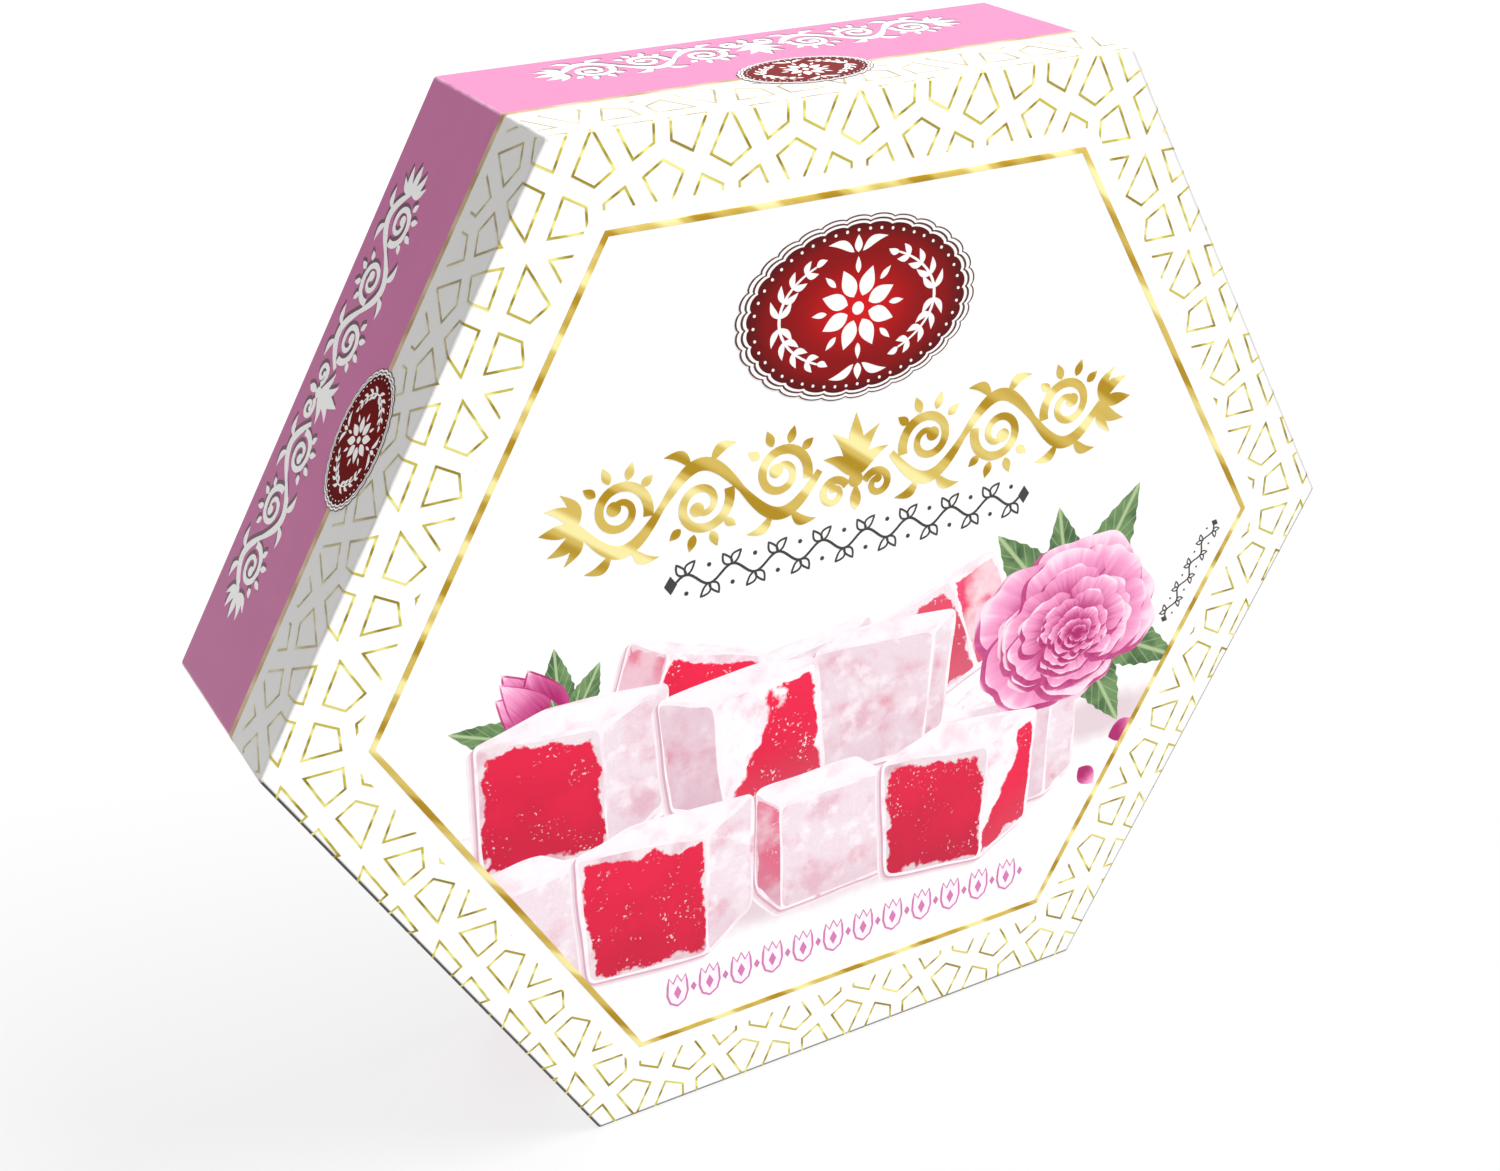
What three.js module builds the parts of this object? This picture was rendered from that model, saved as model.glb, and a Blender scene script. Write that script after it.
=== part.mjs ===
// Hexagonal confectionery carton: a shut gift box of folded board, upright on one of its six walls.
//
// Millimetres, +Z up. The front panel faces -Y. The origin is the middle of the wall that the
// carton stands on, halfway between the front and the back panel.

import * as THREE from 'three';

// Driving dimensions.
const SIDE = 95;                 // one side of the hexagon, which is one wall's length
const DEPTH = 38.4;              // from the front panel to the back panel
const FOLD_RADIUS = 0.35;        // outside radius of the creases round the front and back panels
const CORNER_RADIUS = 0.7;       // outside radius of the creases between two walls
const CORNER_STEPS = 5;          // straight steps in the arc of one corner
const FOLD_STEPS = 4;            // straight steps in the quarter round of one fold

// Worked out from them.
const WALLS = 6;
const HEIGHT = Math.sqrt(3) * SIDE;                                  // across two opposite walls
const CORNER_CENTRE = SIDE - CORNER_RADIUS / Math.cos(Math.PI / 6);  // reach of an arc's centre

// The panel's outline, wall to wall, with each corner rounded by an arc that is tangent to the
// two walls beside it. The first corner points along +X, so two walls lie level.
function panelOutline() {
  const outline = new THREE.Shape();
  const halfSweep = Math.PI / WALLS;
  for (let corner = 0; corner < WALLS; corner += 1) {
    const heading = corner * 2 * halfSweep;
    outline.absarc(
      CORNER_CENTRE * Math.cos(heading),
      CORNER_CENTRE * Math.sin(heading),
      CORNER_RADIUS,
      heading - halfSweep,
      heading + halfSweep,
      false,
    );
  }
  outline.closePath();
  return outline;
}

// The shut carton as one closed body: the outline run from the back to the front, with both of
// its rims turned over a quarter round, as a crease turns the board.
function cartonGeometry() {
  const geometry = new THREE.ExtrudeGeometry(panelOutline(), {
    depth: DEPTH - 2 * FOLD_RADIUS,
    steps: 1,
    curveSegments: CORNER_STEPS,
    bevelEnabled: true,
    bevelThickness: FOLD_RADIUS,
    bevelSize: FOLD_RADIUS,
    bevelOffset: -FOLD_RADIUS,
    bevelSegments: FOLD_STEPS,
  });
  geometry.rotateX(Math.PI / 2);
  return geometry;
}

const printedBoard = new THREE.MeshStandardMaterial({
  name: 'printed_board',
  color: 0xe9a3c6,
  roughness: 0.45,
  metalness: 0,
});

const carton = new THREE.Mesh(cartonGeometry(), printedBoard);
carton.name = 'carton';
carton.position.set(0, DEPTH / 2 - FOLD_RADIUS, HEIGHT / 2);

const hexagonalCarton = new THREE.Group();
hexagonalCarton.name = 'hexagonal_carton';
hexagonalCarton.add(carton);

export default hexagonalCarton;
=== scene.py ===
"""A shut hexagonal confectionery carton, printed and foil stamped, standing on one of its walls.

The board, the foil and every field of print are laid on one form, CartonForm, which is worked out
from the frame. Print sizes are millimetres; meshes are metres, in the frame's own axes.
"""

from __future__ import annotations

import logging
import random
from dataclasses import dataclass, field
from enum import Enum
from itertools import product
from math import atan2, copysign, cos, exp, hypot, pi, radians, sin, sqrt, tan, tau
from typing import Any, Callable, Iterable, Mapping, Sequence

import bmesh
import bpy
from mathutils import Matrix, Vector
from mathutils.geometry import convex_hull_2d, delaunay_2d_cdt

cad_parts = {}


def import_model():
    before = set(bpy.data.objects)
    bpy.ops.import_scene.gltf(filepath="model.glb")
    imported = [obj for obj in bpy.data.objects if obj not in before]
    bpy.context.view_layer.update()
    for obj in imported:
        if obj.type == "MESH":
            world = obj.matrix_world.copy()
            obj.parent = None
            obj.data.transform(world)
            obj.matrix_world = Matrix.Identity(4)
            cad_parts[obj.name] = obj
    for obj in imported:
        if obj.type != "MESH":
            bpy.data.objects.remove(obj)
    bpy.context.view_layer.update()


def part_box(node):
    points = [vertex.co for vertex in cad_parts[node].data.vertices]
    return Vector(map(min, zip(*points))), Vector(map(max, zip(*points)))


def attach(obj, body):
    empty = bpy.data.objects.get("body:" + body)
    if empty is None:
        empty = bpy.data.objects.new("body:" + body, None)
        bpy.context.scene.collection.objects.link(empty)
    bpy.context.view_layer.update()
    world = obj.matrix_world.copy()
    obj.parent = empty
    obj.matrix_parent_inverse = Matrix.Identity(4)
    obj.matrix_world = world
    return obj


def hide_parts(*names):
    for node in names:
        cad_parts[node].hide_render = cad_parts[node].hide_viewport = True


LOG = logging.getLogger("carton")
MM = 0.001
WALLS = 6
STANDING_WALL = 3
CORNER_TURN = pi / WALLS  # half of the turn from one wall to the next
SINK = 0.06  # how far a sheet of print or foil reaches into the board, in millimetres
WELD = 1e-4  # points of a drawing that lie closer than this are one point, in millimetres
LOCAL_MAP = "Local"
TONE_MAP = "Tone"
WEAR = "Wear"
PAINTED_FOLD_SHADE = "PaintedFoldShade"
MATH = "ShaderNodeMath"
VECTOR_MATH = "ShaderNodeVectorMath"
RANGE = "ShaderNodeMapRange"
SMOOTH = {"interpolation_type": "SMOOTHSTEP"}

Point = tuple[float, float]
Triple = tuple[float, float, float]
Outline = list[Point]
Plane = tuple[Point, float, bool]
Place = Callable[[float, float, float], Vector]
LocalMap = Callable[[float, float], Point]
Node, Nodes, Socket = bpy.types.Node, bpy.types.NodeTree, bpy.types.NodeSocket
Mesh, Piece = bpy.types.Mesh, bpy.types.Object
Given = Node | Socket | float | str


# Small tools


def linear(colour: str) -> tuple[float, float, float, float]:
    """Turns an sRGB hex colour into linear light, with a full fourth channel.

    Args:
        colour: Six hex digits after a #.

    Returns:
        Linear red, green and blue, and 1.
    """
    channels = [int(colour[i : i + 2], 16) / 255.0 for i in (1, 3, 5)]
    red, green, blue = (c / 12.92 if c <= 0.04045 else ((c + 0.055) / 1.055) ** 2.4 for c in channels)
    return red, green, blue, 1.0


def add(
    tree: Nodes, kind: str, inputs: Mapping[str | int, Any] | Sequence[Any] = (), **settings: Any
) -> Node:
    """Adds a node with its settings and links.

    Args:
        tree: The node tree.
        kind: The node's type.
        inputs: What each input gets, in order, or by name or number: a value, a socket, or a node,
            which stands for its first output in use.
        settings: The node's properties.

    Returns:
        The new node.
    """
    node = tree.nodes.new(kind)
    for name, value in settings.items():
        setattr(node, name, value)
    for key, value in (inputs if isinstance(inputs, Mapping) else dict(enumerate(inputs))).items():
        if isinstance(value, Node):
            value = next(output for output in value.outputs if output.enabled)
        if isinstance(value, Socket):
            tree.links.new(value, node.inputs[key])
        else:
            node.inputs[key].default_value = value
    return node


def reckon(tree: Nodes, value: Given, *steps: tuple[Any, ...]) -> Given:
    """Takes a value through a few sums.

    Args:
        tree: The node tree.
        value: What the first sum starts from.
        steps: For each sum its operation and what it needs besides the value.

    Returns:
        What the last sum gives.
    """
    for operation, *others in steps:
        value = add(tree, MATH, (value, *others), operation=operation)
    return value


def put(name: str, data: bpy.types.ID) -> Piece:
    """Puts a mesh, a lamp or a camera into the scene, at the origin.

    Args:
        name: The object's name.
        data: What it holds.

    Returns:
        The object.
    """
    placed = bpy.data.objects.new(name, data)
    bpy.context.scene.collection.objects.link(placed)
    return placed


def skin(name: str, points: Sequence[Any], faces: Sequence[Any], inks: Sequence[Finish]) -> Mesh:
    """Makes a mesh whose faces have their finishes.

    Args:
        name: The mesh's name.
        points: Its points.
        faces: For each face the numbers of its points.
        inks: For each face its finish.

    Returns:
        The mesh.
    """
    mesh = bpy.data.meshes.new(name)
    mesh.from_pydata(points, [], faces)
    finishes = list(dict.fromkeys(inks))
    for finish in finishes:
        mesh.materials.append(finish.material())
    mesh.polygons.foreach_set("material_index", [finishes.index(ink) for ink in inks])
    return mesh


def around(centre: Point, angle: float, across: float, up: float) -> Point:
    """The point of an ellipse with these two half sizes that lies at an angle from its centre."""
    return centre[0] + across * cos(angle), centre[1] + up * sin(angle)


def mirrored(outline: Sequence[Point]) -> Outline:
    """An outline's mirror image to the left of the Y axis, still counter-clockwise."""
    return [(-x, y) for x, y in reversed(outline)]


def from_centre(centre: Point, across: float, up: float) -> LocalMap:
    """The local map of an ellipse with these two half sizes, 0 at its centre and 1 at its rim."""
    return lambda x, y: ((x - centre[0]) / across, (y - centre[1]) / up)


def turned(points: Iterable[Point], angle: float, centre: Point = (0.0, 0.0)) -> Outline:
    """Turns points counter-clockwise about their origin, by an angle in radians, and moves them."""
    along, across = cos(angle), sin(angle)
    return [(centre[0] + x * along - y * across, centre[1] + x * across + y * along) for x, y in points]


def hexagon(corner: float) -> Outline:
    """A hexagon with a corner at this distance along +X, counter-clockwise."""
    return [turned([(corner, 0.0)], tau * i / WALLS)[0] for i in range(WALLS)]


def oval(centre: Point, across: float, up: float, steps: int) -> Outline:
    """The outline of an ellipse with these two half sizes, counter-clockwise."""
    return [around(centre, tau * i / steps, across, up) for i in range(steps)]


def leaf(base: Point, tip: Point, width: float, bend: float = 0.0) -> Outline:
    """The outline of a leaf of ornament, pointed at both ends and widest below its middle.

    Args:
        base: Where it grows from.
        tip: Its far end.
        width: Its greatest width.
        bend: How far it bows to the left, as a part of its length.

    Returns:
        The outline, counter-clockwise.
    """
    start, axis = Vector(base), Vector(tip) - Vector(base)
    side = Vector((-axis.y, axis.x))
    left: Outline = []
    right: Outline = []
    steps = 10
    for step in range(steps + 1):
        t = step / steps
        middle = start + axis * t + side * bend * sin(pi * t)
        half = side.normalized() * 0.5 * width * sin(pi * t**0.8)
        left.append(tuple(middle + half))
        right.append(tuple(middle - half))
    return right + left[-2:0:-1]


def brush(path: Sequence[Point], width: Callable[[float], float]) -> list[Outline]:
    """A stroke of changing width, as one short four-sided field for each step of its path.

    Args:
        path: The middle of the stroke.
        width: Its width at a part of its length, from 0 to 1.

    Returns:
        The fields, which share their edges.
    """
    ends: list[tuple[Point, Point]] = []
    for i, point in enumerate(path):
        ahead, behind = path[min(i + 1, len(path) - 1)], path[max(i - 1, 0)]
        heading = (Vector(ahead) - Vector(behind)).normalized()
        half = Vector((-heading.y, heading.x)) * 0.5 * width(i / (len(path) - 1))
        ends.append((tuple(Vector(point) + half), tuple(Vector(point) - half)))
    return [[b[1], d[1], d[0], b[0]] for b, d in zip(ends, ends[1:])]


def uneven(corners: Sequence[Point], swell: Point, draw: random.Random) -> Outline:
    """A soft, uneven outline through a few corners.

    Args:
        corners: The corners, counter-clockwise.
        swell: The least and the most that a side stands out.
        draw: The source of the unevenness.

    Returns:
        The outline.
    """
    points: list[Vector] = []
    for i, corner in enumerate(corners):
        start, end = Vector(corner), Vector(corners[(i + 1) % len(corners)])
        side = end - start
        out = Vector((side.y, -side.x)).normalized()
        points.append(start)
        points += [start + side * t + out * draw.uniform(*swell) for t in (0.12, 0.37, 0.63, 0.88)]
    roundings = 3
    for _ in range(roundings):
        pairs = zip(points, points[1:] + points[:1])
        points = [p for a, b in pairs for p in (a * 0.75 + b * 0.25, a * 0.25 + b * 0.75)]
    return [tuple(p) for p in points]


def volute(centre: Point, radii: Point, start: float, turns: float, steps: int) -> Outline:
    """The path of a scroll that winds in towards its centre.

    Args:
        centre: Its eye.
        radii: Its first and its last radius.
        start: The heading of its first point from its eye.
        turns: How often it goes round, counter-clockwise if positive.
        steps: The number of its straight steps.

    Returns:
        The path, inwards.
    """
    path: Outline = []
    for step in range(steps + 1):
        t = step / steps
        radius = radii[0] + (radii[1] - radii[0]) * t**0.85
        path.append(around(centre, start + turns * tau * t, radius, radius))
    return path


# The form that everything is laid on


@dataclass(frozen=True)
class CartonForm:
    """The outer surface of the carton, in millimetres, and where a point of the print lies on it.

    Print on the front panel has x to the right and y up, from the panel's middle. Print on a wall has
    x along the wall from its middle and y up towards the front fold, where y is 0, as it reads with the
    front panel on top. Above 0 a wall's print runs on over the fold, onto the front panel.
    """

    side: float
    depth: float
    fold_radius: float = 0.35
    corner_radius: float = 0.7
    panel_bow: float = 0.3
    wall_bow: float = 0.15

    @classmethod
    def from_box(cls, box: tuple[Vector, Vector]) -> CartonForm:
        """Takes the sizes from the lowest and the highest corner of the frame's carton."""
        low, high = box
        return cls(side=(high[2] - low[2]) / sqrt(3) / MM, depth=(high[1] - low[1]) / MM)

    @property
    def apothem(self) -> float:
        """From the middle of a panel square to a wall, which is also the middle's height."""
        return self.side * sqrt(3) / 2

    @property
    def half_arc(self) -> float:
        """From a sharp corner between two walls to where its round begins, along the wall."""
        return self.corner_radius * tan(CORNER_TURN)

    def heading(self, wall: int) -> float:
        """The direction that a wall faces, in radians from +X."""
        return radians(90 + 60 * wall)

    def ways(self, wall: int) -> tuple[Point, Point]:
        """The way out of a wall and the way ahead along it, in the plane of the panels."""
        heading = self.heading(wall)
        return (cos(heading), sin(heading)), (-sin(heading), cos(heading))

    def metres(self, x: float, y: float, z: float) -> Vector:
        """A point of the frame from millimetres about the carton's middle."""
        return Vector((x, y, z + self.apothem)) * MM

    def panel_rise(self, x: float, y: float) -> float:
        """How far a panel bulges at a point: fully in its middle, and not at all at its edge."""
        reach = max(abs(y), abs(x) * sqrt(3) / 2 + abs(y) / 2) / self.apothem
        return self.panel_bow * max(0.0, 1 - reach**2) ** 2

    def front(self, x: float, y: float, lift: float = 0.0) -> Vector:
        """A point on the front panel, or lifted off it."""
        return self.metres(x, -self.depth / 2 - self.panel_rise(x, y) - lift, y)

    def back(self, x: float, y: float, lift: float = 0.0) -> Vector:
        """A point on the back panel, with x to the right of someone who faces it."""
        return self.metres(-x, self.depth / 2 + self.panel_rise(x, y) + lift, y)

    def wall_rise(self, wall: int, along: float, down: float) -> float:
        """How far a wall bulges at a point; the wall that the carton stands on is pressed flat.

        Args:
            wall: The wall's number.
            along: The point's place along the wall, from the middle.
            down: How far behind the front panel it lies.

        Returns:
            The distance.
        """
        if wall == STANDING_WALL:
            return 0.0
        across = 1 - (2 * along / self.side) ** 2
        deep = 1 - (2 * down / self.depth - 1) ** 2
        return self.wall_bow * max(0.0, across) * max(0.0, deep)

    def rim(self, wall: int, along: float, inset: float) -> tuple[Vector, Vector]:
        """A point of the carton's outline and the way out of it there, in the plane of the panels.

        Args:
            wall: The wall's number.
            along: Its place along the wall, from the middle.
            inset: How far inside the surface it lies.

        Returns:
            The point and the unit vector.
        """
        out, ahead = (Vector(way) for way in self.ways(wall))
        into_arc = abs(along) - (self.side / 2 - self.half_arc)
        if into_arc <= 0:
            return out * (self.apothem - inset) + ahead * along, out
        share = min(into_arc / self.half_arc, 1.0)
        middle = (0.0, 0.0)
        out = Vector(around(middle, self.heading(wall) + copysign(share * CORNER_TURN, along), 1.0, 1.0))
        centre = Vector(around(middle, self.heading(wall) + copysign(CORNER_TURN, along), 1.0, 1.0))
        centre *= self.side - self.corner_radius / cos(CORNER_TURN)
        return centre + out * (self.corner_radius - inset), out

    def wall(self, wall: int, x: float, y: float, lift: float = 0.0) -> Vector:
        """A point on a wall, round either fold, or on the panel just past it.

        Args:
            wall: The wall's number.
            x: Along the wall from its middle.
            y: Up towards the front fold, where it is 0.
            lift: How far off the surface.

        Returns:
            The point of the frame.
        """
        radius = self.fold_radius
        if y > radius:
            out, ahead = (Vector(way) for way in self.ways(wall))
            return self.front(*(out * (self.apothem - y) + ahead * x), lift)
        from_back = self.depth + y
        if radius <= from_back and y <= -radius:
            point, out = self.rim(wall, x, 0.0)
            point = point + out * (self.wall_rise(wall, x, -y) + lift)
            return self.metres(point.x, -self.depth / 2 - y, point.y)
        quarter = pi / 2
        if y > -radius:
            turn, middle = (radius - y) / (2 * radius) * quarter, -self.depth / 2 + radius
        else:
            turn, middle = quarter + (radius - from_back) / (2 * radius) * quarter, self.depth / 2 - radius
        point, out = self.rim(wall, x, radius)
        point = point + out * (radius + lift) * sin(turn)
        return self.metres(point.x, middle - (radius + lift) * cos(turn), point.y)

    def over_fold(self, x: float, y: float, lift: float) -> Vector:
        """A point of the front panel's print, which runs on round the fold of its nearest wall.

        Args:
            x: To the right of the panel's middle.
            y: Above the panel's middle.
            lift: How far off the surface.

        Returns:
            The point of the frame.
        """
        point = Vector((x, y))
        ways = [[Vector(way) for way in self.ways(wall)] for wall in range(WALLS)]
        wall = max(range(WALLS), key=lambda number: point.dot(ways[number][0]))
        out, ahead = ways[wall]
        return self.wall(wall, point.dot(ahead), self.apothem - point.dot(out), lift)

    def on_wall(self, wall: int, centre: Point, scale: float) -> Place:
        """The placing of print that is drawn about its own middle, on one wall."""
        return lambda x, y, lift: self.wall(wall, centre[0] + x * scale, centre[1] + y * scale, lift)

    def on_front(self, centre: Point, angle: float = 0.0) -> Place:
        """The placing of print that is drawn about its own middle, on the front panel."""
        return lambda x, y, lift: self.front(*turned([(x, y)], angle, centre)[0], lift)

    def on_back(self, centre: Point, scale: float = 1.0) -> Place:
        """The placing of print that is drawn about its own middle, on the back panel."""
        return lambda x, y, lift: self.back(centre[0] + x * scale, centre[1] + y * scale, lift)


# Finishes


@dataclass(frozen=True)
class Finish:
    """What every finish shares: a name, a colour and the sheen of varnished board."""

    name: str
    colour: str
    roughness: float = 0.36
    specular: float = 0.5

    def material(self) -> bpy.types.Material:
        """The finish as a material, made once.

        Returns:
            The material.
        """
        made = bpy.data.materials.get(self.name)
        if made:
            return made
        made = bpy.data.materials.new(self.name)
        made.use_nodes = True
        made.diffuse_color = linear(self.colour)
        tree = made.node_tree
        tree.nodes.clear()
        shader = add(tree, "ShaderNodeBsdfPrincipled", self.surface(tree))
        add(tree, "ShaderNodeOutputMaterial", {"Surface": shader})
        return made

    def surface(self, tree: Nodes) -> dict[str, Any]:
        """What the shader's inputs get; a plain finish has one colour all over."""
        colour = linear(self.colour)
        return {"Base Color": colour, "Roughness": self.roughness, "Specular IOR Level": self.specular}

    def place(self, tree: Nodes) -> Socket:
        """The coordinates that the finish's grain lies on, which are the piece's own."""
        return add(tree, "ShaderNodeTexCoord").outputs["Object"]

    def grain(self, tree: Nodes, width: float, detail: float = 2.0) -> Node:
        """An uneven pattern from 0 to 1 whose grains are this many millimetres wide."""
        fields = {"Vector": self.place(tree), "Scale": 1.0 / (width * MM), "Detail": detail}
        return add(tree, "ShaderNodeTexNoise", fields)

    def relief(self, tree: Nodes, width: float, depth: float, strength: float) -> Node:
        """The surface thrown into waves of this width and depth, in millimetres."""
        fields = {"Height": self.grain(tree, width), "Distance": depth * MM, "Strength": strength}
        return add(tree, "ShaderNodeBump", fields)

    def coat(
        self, tree: Nodes, under: Given, over: Given, mask: Given, *span: float, share: float = 1.0
    ) -> Node:
        """Lays one colour over another.

        Args:
            tree: The material's node tree.
            under: The lower colour, a hex value or a node.
            over: The upper colour.
            mask: How much of the upper one shows, or what decides it.
            span: Where the mask starts to show the upper one, and where it shows its full share.
            share: The most that shows, with a span.

        Returns:
            The node that gives the colour.
        """
        if span:
            mask = add(tree, RANGE, (mask, *span, 0.0, share), **SMOOTH)
        ends = [linear(colour) if isinstance(colour, str) else colour for colour in (under, over)]
        return add(tree, "ShaderNodeMix", {0: mask, 6: ends[0], 7: ends[1]}, data_type="RGBA")


@dataclass(frozen=True)
class PrintedBoard(Finish):
    """Coated folding boxboard, offset printed and varnished.

    The eye gets a flat, faintly mottled ink, a low sheen that ripples as varnish does, and a patchy
    line where the creases have stretched the coating, if the ink has a colour for it. A thin dark
    grey line of painted shade runs along the front folds, strongest at the lower ones.
    """

    mottle: float = 0.03
    mottle_grain: float = 6.0
    varnish_grain: float = 1.4
    varnish_depth: float = 0.05
    crease: str | None = None
    crease_grain: float = 3.0
    # bare: the colour of the painted shade line that is laid along the front folds
    bare: str = "#484644"

    def surface(self, tree: Nodes) -> dict[str, Any]:
        """Mottles the ink, wears its creases, lays painted shade along the front folds and ripples the
        varnish.

        Args:
            tree: The material's node tree.

        Returns:
            What the shader's inputs get.
        """
        mottle = self.grain(tree, self.mottle_grain, 4.0)
        colour = self.coat(tree, self.colour, "#000000", mottle, 0.35, 0.65, share=self.mottle)
        if self.crease:
            wear, fold_shade = (
                add(tree, "ShaderNodeAttribute", attribute_name=name).outputs["Fac"] for name in (WEAR, PAINTED_FOLD_SHADE)
            )
            wear = add(tree, RANGE, (wear, 0.2, 0.9), **SMOOTH)
            patchy = add(tree, RANGE, (self.grain(tree, self.crease_grain), 0.1, 0.9), **SMOOTH)
            colour = self.coat(tree, colour, self.crease, reckon(tree, wear, ("MULTIPLY", patchy)))
            # painted shade: a dark line along the front folds, as strong as each wall's value
            colour = self.coat(tree, colour, self.bare, reckon(tree, fold_shade, ("POWER", 2.0)))
        varnish = self.relief(tree, self.varnish_grain, self.varnish_depth, 0.2)
        return super().surface(tree) | {"Base Color": colour, "Normal": varnish}


@dataclass(frozen=True)
class StampedFoil(Finish):
    """Hot-stamped gold foil, with painted reflection stripes from olive gold to pale yellow.

    The eye gets bright and dark stretches along each line, a painted reflection and painted shade
    where polished foil would face towards and away from a lamp. With less metal it is a gold ink,
    which lamplight washes out.
    """

    roughness: float = 0.3
    metal: float = 1.0
    dark: str = "#A87D1B"
    pale: str = "#FFF3B0"
    band: float = 17.0
    slant: float = 1.3
    depth_slant: float = 0.35
    quick_band: float = 2.37
    quick_share: float = 0.55
    wrinkle_grain: float = 0.9
    wrinkle_depth: float = 0.03

    def surface(self, tree: Nodes) -> dict[str, Any]:
        """Paints broad and narrow reflection stripes slantwise into the foil and wrinkles it finely.

        Args:
            tree: The material's node tree.

        Returns:
            What the shader's inputs get.
        """
        axes = add(tree, "ShaderNodeSeparateXYZ", (self.place(tree),)).outputs
        # painted reflection: slanting stripes of dark and pale gold stand for lamps mirrored in the foil
        slanted = reckon(tree, axes["Z"], ("MULTIPLY_ADD", self.slant, axes["X"]))
        to_turns = ("MULTIPLY", tau / (self.band * MM))
        turns = reckon(tree, axes["Y"], ("MULTIPLY_ADD", self.depth_slant, slanted), to_turns)
        slow = reckon(tree, turns, ("SINE",))
        quick = ("MULTIPLY", self.quick_band), ("SINE",), ("MULTIPLY_ADD", self.quick_share, slow)
        bands = reckon(tree, turns, *quick)
        shade = self.coat(tree, self.dark, self.colour, bands, -1.2, -0.1)
        shade = self.coat(tree, shade, self.pale, bands, 0.15, 1.25)
        wrinkle = self.relief(tree, self.wrinkle_grain, self.wrinkle_depth, 0.25)
        return super().surface(tree) | {"Base Color": shade, "Metallic": self.metal, "Normal": wrinkle}


@dataclass(frozen=True)
class LocalFinish(Finish):
    """A matt ink whose pattern follows its own field.

    The field's local map runs from 0 to 1, or from -1 to 1 about its middle, and its tone map holds
    two numbers that differ from field to field.
    """

    specular: float = 0.2

    def local(self, tree: Nodes, name: str = LOCAL_MAP) -> bpy.types.NodeOutputs:
        """The X and Y outputs of a map."""
        return add(tree, "ShaderNodeSeparateXYZ", (add(tree, "ShaderNodeUVMap", uv_map=name),)).outputs

    def place(self, tree: Nodes) -> Socket:
        """The piece's coordinates, which the tone map shifts, so that no two fields are alike."""
        shift = add(tree, "ShaderNodeUVMap", uv_map=TONE_MAP)
        return add(tree, VECTOR_MATH, (super().place(tree), shift), operation="ADD").outputs[0]

    def from_middle(self, tree: Nodes) -> Socket:
        """How far a point is from the middle of its field: 1 at the rim."""
        local = add(tree, "ShaderNodeUVMap", uv_map=LOCAL_MAP)
        return add(tree, VECTOR_MATH, (local,), operation="LENGTH").outputs["Value"]


@dataclass(frozen=True)
class SealRed(LocalFinish):
    """Printed enamel red, bright in the middle of the seal, maroon round it and darker at its edge."""

    specular: float = 0.12
    body: str = "#84090C"
    edge: str = "#560709"

    def surface(self, tree: Nodes) -> dict[str, Any]:
        """Grades the red from the middle to the rim.

        Args:
            tree: The material's node tree.

        Returns:
            What the shader's inputs get.
        """
        far = self.from_middle(tree)
        shade = self.coat(tree, self.colour, self.body, far, 0.0, 0.62)
        shade = self.coat(tree, shade, self.edge, far, 0.7, 0.92)
        return super().surface(tree) | {"Base Color": shade}


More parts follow.
